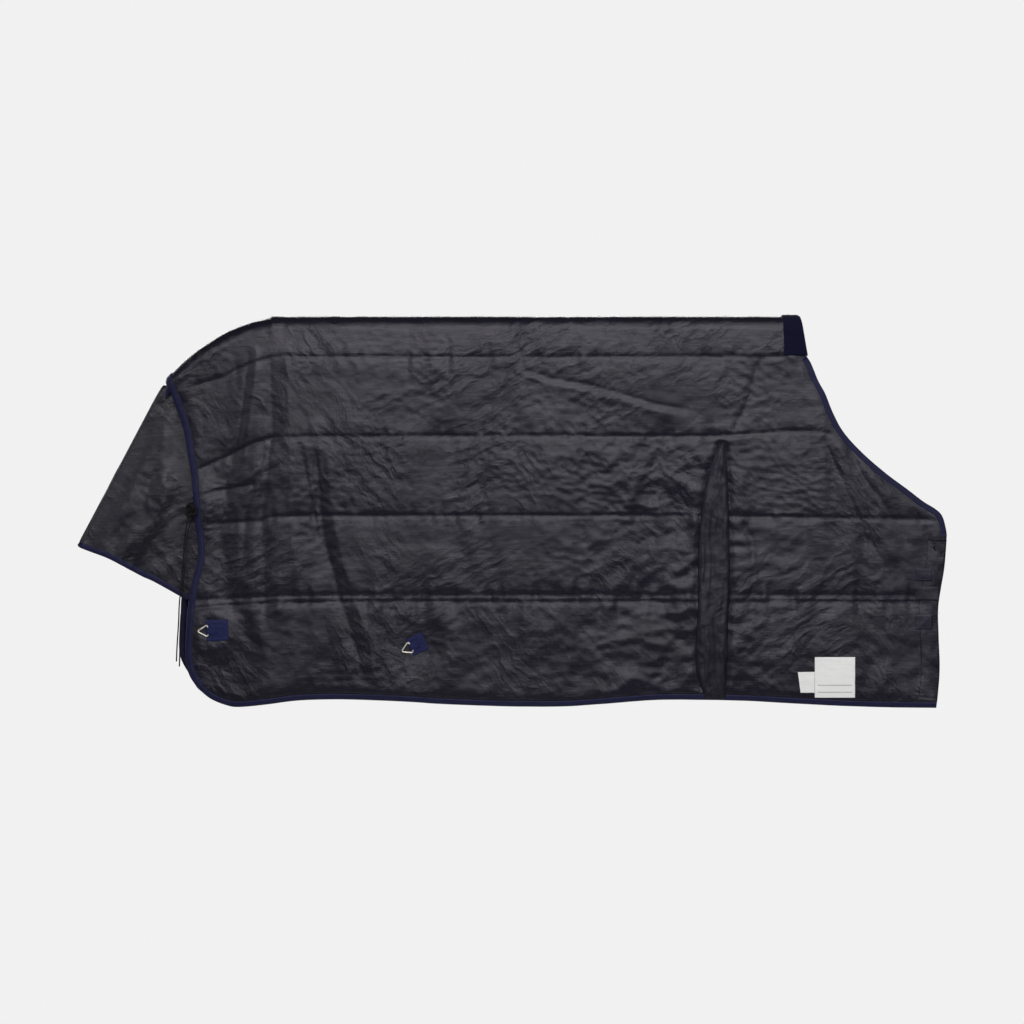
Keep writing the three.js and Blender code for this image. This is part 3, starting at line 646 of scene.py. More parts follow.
# name, colour or the panel's colour, then cloth_material's values in their order
CLOTHS = {
    "lining": ("lining_nylon", "lining", 0.0012, 1.0, 0.285, 1.0, 0.0, 0.34, 0.0030),
    "gusset": ("gusset_nylon", "lining", 0.0012, 0.9, 0.35, 0.9, 0.02, 0.26, 0.0020),
    "flap": ("flap_nylon", "flap", 0.0012, 0.9, 0.27, 0.8, 0.02, 0.34, 0.0024),
    "shell": ("shell_fabric", "shell", 0.0016, 0.3, 0.6, 0.8, 0.1),
    "filling": ("wadding", (0.7, 0.7, 0.67), 0.004, 0.3, 0.95, 0.8),
    "binding": ("navy_binding", "binding", 0.0010, 0.35, 0.6, 0.9, 0.08, 0.16),
    "pad": ("withers_fleece", "pad", 0.0021, 0.4, 0.92, 1.0, 0.12, 0.08),
    "webbing": ("navy_webbing", "webbing", 0.0017, 0.4, 0.7, 1.0, 0.08, 0.14),
    "chest": ("black_webbing", (0.012, 0.012, 0.014), 0.0017, 0.4, 0.6, 1.0, 0.2),
    "label": ("label_satin", (0.80, 0.80, 0.79), 0.0008, 0.06, 0.5, 0.25),
    "thread": ("dark_thread", (0.016, 0.016, 0.02), 0.0006, 0.2, 0.6, 0.6),
    "navy_thread": ("navy_thread", (0.04, 0.04, 0.12), 0.0006, 0.2, 0.6, 0.6),
    "label_rule": ("label_rule", (0.13, 0.13, 0.15), 0.0006, 0.1, 0.7, 0.3),
    "cord": ("fillet_cord", (0.006, 0.006, 0.007), 0.0012, 0.3, 0.7, 1.0, 0.02, 0.15),
}
METALS = {"ring": ("ring_nickel", (0.78, 0.73, 0.66), 0.3),
          "buckle": ("buckle_nickel", (0.7, 0.68, 0.64), 0.28)}
MAT = {}


def material(kind):
    """The material of that kind, made when it is first asked for."""
    if kind not in MAT and kind in METALS:
        MAT[kind] = metal_material(*METALS[kind])
    elif kind not in MAT:
        name, colour, *values = CLOTHS[kind]
        if isinstance(colour, str):
            colour = getattr(bpy.context.scene.rug_colours, colour)
        MAT[kind] = cloth_material(name, colour, *values)
    return MAT[kind]


# ------------------------------------------------------------------ stitches
def stitch_tree():
    """Threads of a sewn line: long balls at an even pitch along each input edge chain."""
    tree = bpy.data.node_groups.get("stitch_run")
    if tree:
        return tree
    tree = bpy.data.node_groups.new("stitch_run", "GeometryNodeTree")
    io = tree.interface
    io.new_socket("Geometry", in_out="INPUT", socket_type="NodeSocketGeometry")
    for name, value in (("Pitch", 0.006), ("Stitch length", 0.004), ("Thread width", 0.0008)):
        s = io.new_socket(name, in_out="INPUT", socket_type="NodeSocketFloat")
        s.default_value = value
    io.new_socket("Thread", in_out="INPUT", socket_type="NodeSocketMaterial")
    io.new_socket("Geometry", in_out="OUTPUT", socket_type="NodeSocketGeometry")
    gi, go = tree.nodes.new("NodeGroupInput"), tree.nodes.new("NodeGroupOutput")
    given = gi.outputs
    curve = add_node(tree, "GeometryNodeMeshToCurve", {0: given["Geometry"]})
    points = add_node(tree, "GeometryNodeCurveToPoints",
                      {"Curve": curve.outputs[0], "Length": given["Pitch"]}, mode="LENGTH")
    ball = add_node(tree, "GeometryNodeMeshUVSphere", {"Segments": 6, "Rings": 4, "Radius": 0.5})
    size = add_node(tree, "ShaderNodeCombineXYZ",
                    {0: given["Thread width"], 1: given["Thread width"],
                     2: given["Stitch length"]})
    align = add_node(tree, "FunctionNodeAlignRotationToVector",
                     {"Vector": points.outputs["Tangent"]}, axis="Z")
    sewn = add_node(tree, "GeometryNodeInstanceOnPoints",
                    {"Points": points.outputs["Points"], "Instance": ball.outputs["Mesh"],
                     "Rotation": align.outputs[0], "Scale": size.outputs[0]})
    real = add_node(tree, "GeometryNodeRealizeInstances", {0: sewn.outputs[0]})
    paint = add_node(tree, "GeometryNodeSetMaterial",
                     {"Geometry": real.outputs[0], "Material": given["Thread"]})
    tree.links.new(paint.outputs[0], go.inputs[0])
    return tree


def stitches(name, lines, thread, body, pitch=None, long=None, wide=None):
    """Sewn lines through points in metres, as one plain mesh."""
    p = bpy.context.scene.rug_sizes
    mesh = bpy.data.meshes.new(name + "_runs")
    verts, edges = [], []
    for line in lines:
        b = len(verts)
        verts += [tuple(v) for v in np.asarray(line, float)]
        edges += [(b + i, b + i + 1) for i in range(len(line) - 1)]
    mesh.from_pydata(verts, edges, [])
    run = bpy.data.objects.new(name + "_runs", mesh)
    bpy.context.scene.collection.objects.link(run)
    mod = run.modifiers.new("sewing", "NODES")
    mod.node_group = stitch_tree()
    ids = {s.name: s.identifier for s in mod.node_group.interface.items_tree
           if s.item_type == "SOCKET" and s.in_out == "INPUT"}
    mod[ids["Pitch"]] = pitch or p.stitch_pitch
    mod[ids["Stitch length"]] = long or p.stitch_length
    mod[ids["Thread width"]] = wide or p.thread_width
    mod[ids["Thread"]] = material(thread)
    dg = bpy.context.evaluated_depsgraph_get()
    done = bpy.data.meshes.new_from_object(run.evaluated_get(dg))
    bpy.data.objects.remove(run)
    obj = bpy.data.objects.new(name, done)
    bpy.context.scene.collection.objects.link(obj)
    if not done.materials:
        done.materials.append(material(thread))
    done.polygons.foreach_set("use_smooth", [True] * len(done.polygons))
    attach(obj, body)
    return obj


# ------------------------------------------------------------------ surfaces
def lining_r(x, z, side, lift=0.0):
    k = DRAPE[side]
    return R + k.cloth(x, z) + k.quilt(x, z) + lift


def on_lining(points, side, lift=0.5, step=6.0):
    """Line (x, z) laid on the lining, in metres."""
    line = np.array(points, float)
    line = even(line, max(2, int(length_of(line) / step)))
    w = unroll(line)
    r = lining_r(line[:, 0], line[:, 1], side, lift)
    return place(w[:, 0], w[:, 1], r, side)


def patch_face(x, z, u, v, side, thick, lift, crown):
    """Radius of a patch's face at x, z; u and v run over the patch from 0 to 1."""
    flat = R + DRAPE[side].cloth(x, z) + 1.4 + lift
    flat = flat + crown * 16 * u * (1 - u) * v * (1 - v)
    return np.maximum(flat, lining_r(x, z, side, 0.3 * lift)) + thick


def patch_on_lining(name, corners, side, thick, lift, mat, slot, n=14, crown=0.0, edge=1.2):
    """Small cloth patch with four corners (x, z) that lies on the lining."""
    c = np.array(corners, float)
    u = np.linspace(0, 1, n)
    u = 0.5 - 0.5 * np.cos(np.pi * u)
    top = c[0] + (c[1] - c[0]) * u[:, None]
    bot = c[3] + (c[2] - c[3]) * u[:, None]
    v = u[:, None, None]
    g = (1 - v) * top[None] + v * bot[None]
    x, z = g[..., 0], g[..., 1]
    r = patch_face(x, z, u[None, :], u[:, None], side, 0, lift, crown)
    side_r = np.minimum(np.minimum(u, 1 - u)[None, :], np.minimum(u, 1 - u)[:, None])
    rim = edge * np.exp(-(side_r / 0.03) ** 2)
    w = unroll(g.reshape(-1, 2)).reshape(g.shape)
    outer = place(w[..., 0], w[..., 1], r + thick - rim * 0.5, side)
    inner = place(w[..., 0], w[..., 1], r - 0.6, side)
    return cloth_piece(name, outer, inner, mat, "rug", slot)


WORD = {-1: "near", 1: "off"}


# ------------------------------------------------------------------ sizes and colours
class RugSizes(bpy.types.PropertyGroup):
    lining_pitch: bpy.props.FloatProperty(
        name="Lining pitch", description="Spacing of the near lining's mesh", default=0.0047,
        min=0.004, unit="LENGTH")
    coarse_pitch: bpy.props.FloatProperty(
        name="Coarse pitch", description="Spacing of the hidden layers' mesh", default=0.012,
        min=0.006, unit="LENGTH")
    stitch_pitch: bpy.props.FloatProperty(
        name="Stitch pitch", description="From one stitch to the next", default=0.0060,
        min=0.002, unit="LENGTH")
    stitch_length: bpy.props.FloatProperty(
        name="Stitch length", description="Thread that shows of one stitch", default=0.0042,
        min=0.001, unit="LENGTH")
    thread_width: bpy.props.FloatProperty(
        name="Thread width", description="Width of the sewing thread", default=0.0009,
        min=0.0002, unit="LENGTH")
    binding_width: bpy.props.FloatProperty(
        name="Binding width", description="Width of the edge binding", default=0.012,
        min=0.006, unit="LENGTH")
    ring_wire: bpy.props.FloatProperty(
        name="Ring wire", description="Wire of the leg strap rings", default=0.0035,
        min=0.002, unit="LENGTH")


class RugColours(bpy.types.PropertyGroup):
    lining: bpy.props.FloatVectorProperty(
        name="Lining", description="Quilted nylon lining", default=(0.0076, 0.0071, 0.0132),
        subtype="COLOR", min=0, max=1)
    flap: bpy.props.FloatVectorProperty(
        name="Tail flap", description="Lining of the tail flap", default=(0.0078, 0.0074, 0.0122),
        subtype="COLOR", min=0, max=1)
    shell: bpy.props.FloatVectorProperty(
        name="Shell", description="Outer shell fabric, inside the fold",
        default=(0.016, 0.017, 0.026), subtype="COLOR", min=0, max=1)
    binding: bpy.props.FloatVectorProperty(
        name="Binding", description="Navy edge binding", default=(0.0092, 0.0096, 0.038),
        subtype="COLOR", min=0, max=1)
    pad: bpy.props.FloatVectorProperty(
        name="Withers pad", description="Fleece over the withers",
        default=(0.0045, 0.0048, 0.017), subtype="COLOR", min=0, max=1)
    webbing: bpy.props.FloatVectorProperty(
        name="Webbing", description="Leg strap patches and loops",
        default=(0.011, 0.014, 0.060), subtype="COLOR", min=0, max=1)


# ------------------------------------------------------------------ what the pieces share
def z_at(x, w):
    """Height of the surface at unrolled height w."""
    top = ridge_z(x)
    d = np.maximum(top - w, 0)
    a = np.minimum(d / R, math.pi / 2)
    return top - R + R * np.cos(a) - np.maximum(d - R * math.pi / 2, 0)


def layer(grid, side, base, quilted, lift=0.0):
    """A layer of one half at radius base, over a grid of (x, unrolled height)."""
    x, w = grid[..., 0], grid[..., 1]
    z = z_at(x, w)
    r = base + lift + DRAPE[side].cloth(x, z)
    if quilted:
        r = r + DRAPE[side].quilt(x, z)
    return place(x, w, r, side)


def inward_of(line):
    t = np.gradient(line, axis=0)
    t /= np.linalg.norm(t, axis=1)[:, None]
    return np.stack([-t[:, 1], t[:, 0]], 1)


def edge_binding(name, points, side, wide, mat, slot, node, proud=0.9, start=None, seed=3):
    """Tape folded round a free edge of a half, following the lining's face and the shell's."""
    line = unroll(np.array(points, float)) if start is None else np.vstack([start, unroll(points)])
    line = even(line, int(length_of(line) / 7))
    n = inward_of(line)
    k = DRAPE[side]

    def at(off, face, push):
        p = line + n * off
        x, w = p[:, 0], p[:, 1]
        z = z_at(x, w)
        ripple = (0.35 * noise(x / 9 + z / 9, z / 9 - x / 9, seed)
                  + 0.3 * noise(x / 22, z / 22, seed))
        if face > 0:
            r = R + k.cloth(x, z) + k.quilt(x, z) + push + ripple
        elif face < 0:
            r = SHELL_IN - 0.3 + k.cloth(x, z) - push + ripple
        else:
            mid = R + k.cloth(x, z) + k.quilt(x, z)
            low = SHELL_IN + k.cloth(x, z)
            r = low + (mid - low) * push
        return place(x, w, r, side)

    p, m = proud, wide
    steps = [m * (1 - k / 10) for k in range(1, 10)] if m > 20 else [m * 0.7, m * 0.35]
    section = [at(m, 1, 0.15), at(m - 0.4, 1, p), *[at(k, 1, p + 0.5) for k in steps],
               at(1.5, 1, p + 0.2), at(-0.2, 0, 0.86), at(-1.0, 0, 0.5), at(-0.2, 0, 0.14),
               at(1.5, -1, p), at(m * 0.5, -1, p + 0.3), at(m, -1, p), at(m, -1, 0),
               at(2.5, -1, 0), at(0.9, 0, 0.3), at(0.9, 0, 0.7), at(2.5, 1, 0)]
    rings = np.stack(section, 1)
    obj = loft_piece(name, rings, mat, "rug", slot)
    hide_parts(node)
    return obj, line, n


def on_seat(points, side):
    """Line (x, z) sewn on the strap seats at the chest, in metres."""
    line = even(np.array(points, float), max(4, int(length_of(points) / 3)))
    x, z = line[:, 0], line[:, 1]
    return place(x, z - UNROLL, patch_face(x, z, 0, 0, side, 1.2, 1.5, 0), side)


def seam_along(line, n, off, side, lift):
    """Sewn line at an offset inside an edge, on the face of the lining."""
    p = line + n * off
    x, w = p[:, 0], p[:, 1]
    return place(x, w, lining_r(x, z_at(x, w), side, lift), side)


HEM_LINES = {}
TAILS = {
    "fillet_tail_front": [(-765.5, -43.1, -439.5), (-767.5, -43.1, -447.3), (-774, -45.1, -480),
                          (-781, -45.1, -572), (-786, -44.1, -660), (-791, -43.1, -768)],
    "fillet_tail_back": [(-770.5, -42.1, -438), (-775, -41.1, -449), (-780, -39.1, -490),
                         (-786, -39.1, -572), (-792, -39.1, -660), (-798, -39.1, -757)],
}
# place, x, z, turn in degrees, and the patch's length and width
LEG_RINGS = [("rear", -728.8, -689.7, 183.0, 49, 47), ("front", -277.6, -725.8, 206.0, 39, 41)]
STRAP_Z = {"upper": -566.0, "lower": -664.0}


# ------------------------------------------------------------------ operators
class RUG_OT_stage(bpy.types.Operator):
    """Camera, pale floor, soft lights and background"""
    bl_idname = "rug.stage"
    bl_label = "Stage and camera"

    def execute(self, context):
        scene = context.scene
        cam = bpy.data.cameras.new("camera")
        cam.lens, cam.sensor_width = 100, 36
        cam.clip_end = 60
        eye = bpy.data.objects.new("camera", cam)
        eye.location = (-0.0533, -6.354, -0.4258)
        eye.rotation_euler = (math.pi / 2, 0, 0)
        scene.collection.objects.link(eye)
        scene.camera = eye
        scene.view_settings.view_transform = "Standard"

        world = bpy.data.worlds.new("studio")
        scene.world = world
        world.use_nodes = True
        t = world.node_tree
        bg = t.nodes["Background"]
        bg.inputs["Color"].default_value = (0.88, 0.88, 0.885, 1)
        bg.inputs["Strength"].default_value = 0.05
        seen = add_node(t, "ShaderNodeBackground",
                        {"Color": (0.88, 0.88, 0.88, 1), "Strength": 1.0})
        path = t.nodes.new("ShaderNodeLightPath")
        mix = add_node(t, "ShaderNodeMixShader", {0: path.outputs["Is Camera Ray"],
                                                  1: bg.outputs[0], 2: seen.outputs[0]})
        t.links.new(mix.outputs[0], t.nodes["World Output"].inputs["Surface"])

        n, wide, low = 96, 2.2, -2.0
        turns = [2 * math.pi * i / n for i in range(n)]
        ring = [(wide * math.cos(a), wide * math.sin(a), low) for a in turns]
        mesh = bpy.data.meshes.new("floor")
        mesh.from_pydata(ring, [], [list(range(n))])
        floor = bpy.data.objects.new("floor", mesh)
        scene.collection.objects.link(floor)
        mat = bpy.data.materials.new("floor_paint")
        t, bsdf = nodes_of(mat)
        bsdf.inputs["Roughness"].default_value = 0.9
        tc = t.nodes.new("ShaderNodeTexCoord")
        far = add_node(t, "ShaderNodeVectorMath", {0: tc.outputs["Object"], 1: (1, 1, 0)},
                       operation="MULTIPLY")
        size = add_node(t, "ShaderNodeVectorMath", {0: far.outputs[0]}, operation="LENGTH")
        fade = add_node(t, "ShaderNodeMapRange",
                        {"Value": size.outputs["Value"], "From Min": 1.2, "From Max": 2.15,
                         "To Min": 1, "To Max": 0})
        t.links.new(fade.outputs[0], bsdf.inputs["Alpha"])
        bsdf.inputs["Base Color"].default_value = (0.86, 0.86, 0.86, 1)
        bsdf.inputs["Emission Color"].default_value = (0.88, 0.88, 0.88, 1)
        bsdf.inputs["Emission Strength"].default_value = 0.12
        mesh.materials.append(mat)

        def area(name, place_at, aim, power, wide, high):
            data = bpy.data.lights.new(name, "AREA")
            data.shape, data.size, data.size_y, data.energy = "RECTANGLE", wide, high, power
            lamp = bpy.data.objects.new(name, data)
            lamp.location = place_at
            look = Vector(aim) - Vector(place_at)
            lamp.rotation_euler = look.to_track_quat("-Z", "Y").to_euler()
            lamp.visible_camera = False
            scene.collection.objects.link(lamp)

        area("softbox_front", (0.5, -7.6, 2.65), (0.5, 0.0, 2.5), 450, 7.0, 4.4)
        area("key_above", (0.5, -1.15, 1.10), (0.1, 0.0, -0.2), 12, 2.6, 0.55)
        area("side_rear", (-3.4, -1.0, 0.5), (-0.2, 0, -0.4), 7, 1.8, 2.2)
        area("softbox_back", (-0.5, 6.5, 1.9), (-0.5, 0.0, 1.2), 300, 7.0, 4.0)
        for end, word in ((1, "head"), (-1, "tail")):
            area("softbox_" + word, (end * 5.5, 0.0, 1.2), (0.0, 0.0, -0.2), 20, 4.5, 3.0)
            area("corner_back_" + word, (end * 5.6, 5.6, 1.6), (0.0, 0.0, 0.2), 130, 3.6, 3.6)
            area("corner_front_" + word, (end * 6.4, -5.2, 1.6), (0.0, 0.0, 0.2), 60, 3.6, 3.6)
        return {"FINISHED"}


class RUG_OT_fillet(bpy.types.Operator):
    """Fillet string with its loops, knots and hanging tails"""
    bl_idname = "rug.fillet"
    bl_label = "Fillet string"

    def execute(self, context):
        cord = material("cord")
        for name, pts in TAILS.items():
            line = spline(pts, 40)
            wander = np.stack([2.2 * noise(line[:, 2] / 45, line[:, 2] * 0 + 3, 21),
                               np.zeros(len(line)), np.zeros(len(line))], 1)
            line = line + wander * ramp(np.linspace(0, 1, len(line)), 0.05, 0.3)[:, None]
            tail = tube_piece(name, line * MM, 0.0015, cord, "rug", "cord", sides=10)
            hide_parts(name)
        for side, word in WORD.items():
            t = np.linspace(0, 2 * math.pi, 90, endpoint=False)
            c = np.array([-765.5, side * 43.1, -424.0])
            a = 2 + np.cos(3 * t)
            knot = np.stack([c[0] + 3.9 * a * np.cos(2 * t),
                             c[1] + 3.8 * np.sin(3 * t),
                             c[2] + 1 + 4.8 * a * np.sin(2 * t)], 1)
            obj = tube_piece(f"{word}_fillet_knot", knot * MM, 0.0034, cord, "rug", "cord",
                             closed=True, sides=12)
            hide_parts(f"{word}_fillet_knot")
            core = spline([(-765.5, side * 43.1, -439.0), (-765.9, side * 43.4, -430),
                           (-766.8, side * 41.5, -421), (-767.5, side * 36.5, -416)], 16)
            tube_piece(f"{word}_knot_core", core * MM, 0.0023, cord, "rug", "cord")
        y = np.linspace(-36.8, 36.8, 22)
        string = np.stack([np.full(22, -767.5), y, np.full(22, -416.0)], 1)
        obj = tube_piece("fillet_string", string * MM, 0.0015, cord, "rug", "cord")
        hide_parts("fillet_string")
        for side, word in WORD.items():
            path = np.array([(-760.2, -389.5), (-765, -396), (-773.2, -406.8), (-775.8, -411.4),
                             (-773.0, -415.4), (-765.5, -420.8), (-759.2, -425.2)])
            path = spline(path, 34)
            nrm = inward_of(path)
            rings = []
            for (x, z), (nx, nz) in zip(path, nrm):
                ring = []
                for u, v in ((-0.5, -3.5), (-0.5, 3.5), (0.5, 3.5), (0.5, -3.5)):
                    ring.append((x + nx * u, side * 28.1 + v, z + nz * u))
                rings.append(ring)
            loop = loft_piece(f"{word}_fillet_loop", np.array(rings) * MM, material("webbing"),
                              "rug", "navy_webbing", smooth=False)
            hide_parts(f"{word}_fillet_loop")
        return {"FINISHED"}


class RUG_OT_halves(bpy.types.Operator):
    """Lining, wadding and shell of the two halves"""
    bl_idname = "rug.halves"
    bl_label = "Quilted halves"

    def execute(self, context):
        p = context.scene.rug_sizes
        fine = half_grid(p.lining_pitch / MM * (1))
        for side, word in WORD.items():
            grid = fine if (side < 0) else half_grid(p.lining_pitch / MM * 1.5, side)
            outer = layer(grid, side, R, True)
            inner = layer(grid, side, R - 1.0, True)[::2, ::2]
            lining = fine_cloth(f"{word}_lining", outer, inner, material("lining"), "rug",
                                "lining_nylon")
            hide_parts(f"{word}_lining")
            rough = half_grid(p.coarse_pitch / MM, side)
            top = self.wadding_top(rough, side)
            low = layer(rough, side, WADDING_IN, False)
            filling = cloth_piece(f"{word}_filling", top, low, material("filling"), "rug",
                                  "filling")
            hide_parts(f"{word}_filling")
            face = layer(rough, side, SHELL_IN + 1, False)
            back = layer(rough, side, SHELL_IN, False)
            shell = cloth_piece(f"{word}_outer_shell", face, back, material("shell"), "rug",
                                "shell_fabric")
            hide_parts(f"{word}_outer_shell")
        return {"FINISHED"}

    @staticmethod
    def wadding_top(grid, side):
        """The wadding under the lining, pressed thin at the quilting."""
        x, w = grid[..., 0], grid[..., 1]
        z = z_at(x, w)
        thick = np.full(x.shape, WADDING_OUT)
        for line in [*QUILT_LINES.values(), *GUSSET_LINES, DART]:
            press = 5.2 * np.exp(-(to_line(x, z, line)[0] / 20) ** 2)
            thick = np.minimum(thick, WADDING_OUT - press)
        thick = thick - 4.6 * np.exp(-(to_line(x, z, FREE_EDGE)[0] / 18) ** 2)
        return place(x, w, np.maximum(thick, WADDING_LEAST) + DRAPE[side].cloth(x, z), side)

    @staticmethod
    def flat_area():
        seam = [(x, ridge_z(x)) for x in np.linspace(NECK_TOP[0], REAR_TOP[0], 200)]
        loop = np.vstack([unroll(EDGE), seam])
        x, z = loop[:, 0] * MM, loop[:, 1] * MM
        return float(abs(np.dot(x, np.roll(z, -1)) - np.dot(z, np.roll(x, -1))) / 2)


class RUG_OT_gussets(bpy.types.Operator):
    """Shoulder gussets set into the halves"""
    bl_idname = "rug.gussets"
    bl_label = "Shoulder gussets"

    def execute(self, context):
        for side, word in WORD.items():
            rear = even(spline(GUSSET_REAR[::-1], 150), 150)
            front = even(spline(GUSSET_FRONT[::-1], 150), 150)
            u = np.linspace(0, 1, 22)
            g = rear[:, None] * (1 - u)[None, :, None] + front[:, None] * u[None, :, None]
            x, z = g[..., 0], g[..., 1]
            wide = np.maximum((front - rear)[:, :1], 1)
            k = DRAPE[side]
            edge = np.minimum(u, 1 - u)[None, :] * wide
            across = x + 6 * noise(z / 60, x / 60, 34)
            wr = (4.4 * (0.5 - np.abs(noise(across / 15, z / 260, 31)))
                  + 2.4 * (0.5 - np.abs(noise(across / 8, z / 150, 32)))
                  + 1.3 * (cells(x / 20, z / 26, 33) - 0.4))
            body = 2.0 + wr * ramp(edge, 0, 9)
            r = R + k.cloth(x, z) + body - 2.6 * np.exp(-(edge / 4) ** 2)
            r = np.maximum(r, lining_r(x, z, side, 0.35 + 0.2 * ramp(edge, 0, 4)))
            w = z - UNROLL
            outer, inner = place(x, w, r, side), place(x, w, r - 0.9, side)
            obj = cloth_piece(f"{word}_shoulder_gusset", outer, inner, material("gusset"), "rug",
                              "lining_nylon")
            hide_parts(f"{word}_shoulder_gusset")
        return {"FINISHED"}


class RUG_OT_bindings(bpy.types.Operator):
    """Edge bindings, chest facings and the spine tape"""
    bl_idname = "rug.bindings"
    bl_label = "Bindings"

    def execute(self, context):
        wide = context.scene.rug_sizes.binding_width / MM
        for side, word in WORD.items():
            dock = dock_line((0, 4, 9, 16, 24))
            rump = spline(rear_edge(side), 260)
            HEM_LINES[word, "rump"] = edge_binding(
                f"{word}_rump_binding", rump, side, wide * 1.25, material("binding"), "navy_binding",
                f"{word}_rump_binding", start=dock)
            HEM_LINES[word, "facing"] = edge_binding(
                f"{word}_chest_facing", spline(FRONT, 90)[3:-1], side, 42, material("lining"),
                "lining_nylon", f"{word}_chest_facing", proud=0.5, seed=5)
            HEM_LINES[word, "hem"] = edge_binding(
                f"{word}_hem_binding", spline(HEM, 420), side, wide, material("binding"),
                "navy_binding", f"{word}_hem_binding", proud=1.5)
            HEM_LINES[word, "neck"] = edge_binding(
                f"{word}_neck_binding", spline([(912, -482)] + NECK, 200), side, wide,
                material("binding"), "navy_binding", f"{word}_neck_binding", proud=1.5)
        x = np.linspace(-824, 586, 200)
        s = np.linspace(-46, 46, 21)
        gx, gs = np.meshgrid(x, s)
        faces = []
        for r in (23.0, 22.1):
            a = gs / 22.5
            top = ridge_z(gx)
            faces.append(np.stack([gx, -r * np.sin(a), top - R + r * np.cos(a)], -1) * MM)
        tape = cloth_piece("spine_tape", faces[0], faces[1], material("binding"), "rug",
                           "navy_binding")
        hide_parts("spine_tape")
        return {"FINISHED"}


class RUG_OT_withers_pad(bpy.types.Operator):
    """Fleece pad folded over the withers"""
    bl_idname = "rug.withers_pad"
    bl_label = "Withers pad"

    def execute(self, context):
        s = np.linspace(-1, 1, 70)
        u = np.linspace(0, 1, 18)
        u = 0.5 - 0.5 * np.cos(np.pi * u)
        reach = 108.5  # from the ridge down each side, unrolled
        ss, uu = np.meshgrid(s * reach, u, indexing="ij")
        drop = np.abs(ss)
        x = 547.5 + (38.5 + 0.145 * drop) * uu + 0.02 * drop
        side = np.where(ss < 0, -1.0, 1.0)
        top = ridge_z(x)
        w = top - drop
        z = z_at(x, w)
        rim = np.minimum(np.minimum(uu, 1 - uu) * 40, reach - drop)
        k = np.where(side < 0, DRAPE[-1].cloth(x, z), DRAPE[1].cloth(x, z))
        k = k * ramp(drop, 40, 80)
        r0 = R + k + 0.6
        nap = 0.5 * noise(x / 3.1, w / 3.1, 51) + 0.35 * noise(x / 1.7, w / 1.7, 52)
        r1 = r0 + 1.2 + 2.1 * ramp(rim, -0.5, 5) + nap * ramp(rim, 0, 3)
        outer, inner = place(x, w, r1, side), place(x, w, r0 - 0.5, side)
        pad = cloth_piece("withers_pad", outer, inner, material("pad"), "rug", "withers_fleece")
        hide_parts("withers_pad")
        return {"FINISHED"}


def flap_layer():
    """Grid (x, z) of the tail flap from its fold to its inner edge, finest at the fold."""
    top, bottom = spline(FLAP_RIDGE, 200), spline(FLAP_INNER, 200)
    right = spline([FLAP_RIDGE[-1]] + FLAP_HEM, 120)
    left = np.array([FLAP_RIDGE[0], FLAP_INNER[0]], float)
    rows = 44
    g = coons(top, bottom, left, right, 64, rows)
    at = np.linspace(0, 1, rows) ** 1.7 * (rows - 1)
    i = np.clip(np.floor(at).astype(int), 0, rows - 2)
    f = (at - i)[:, None, None]
    return g[i] * (1 - f) + g[i + 1] * f


def flap_y(x, z, r, seed):
    """|y| of one leaf of the flap, whose fold over its own middle has radius r."""
    d = to_line(x, z, spline(FLAP_RIDGE, 60))[0]
    y = np.sqrt(np.maximum(r ** 2 - (r - np.minimum(d, r)) ** 2, 0))
    dx, dz = x - FLAP_RIDGE[0][0], z - FLAP_RIDGE[0][1]
    a, b = dx * 0.46 + dz * 0.89, dx * 0.89 - dz * 0.46  # along the flap's fall, and across it
    sweep = b + 14 * noise(a / 120, b / 120, seed)
    fold = (9.0 * (0.5 - np.abs(noise(sweep / 74, a / 420, seed + 1)))
            + 5.0 * (0.4 - np.abs(noise(sweep / 36, a / 300, seed + 2)))
            + 3.0 * (cells(sweep / 30, a / 90, seed + 3) - 0.4)
            + 0.6 * noise(x / 9, z / 9, seed + 4))
    fold = (fold + 4.5) * ramp(d, 6, 70) * (1 - 0.85 * ramp(x, -835, -800))
    return y + np.clip(fold, -2.0, 17)


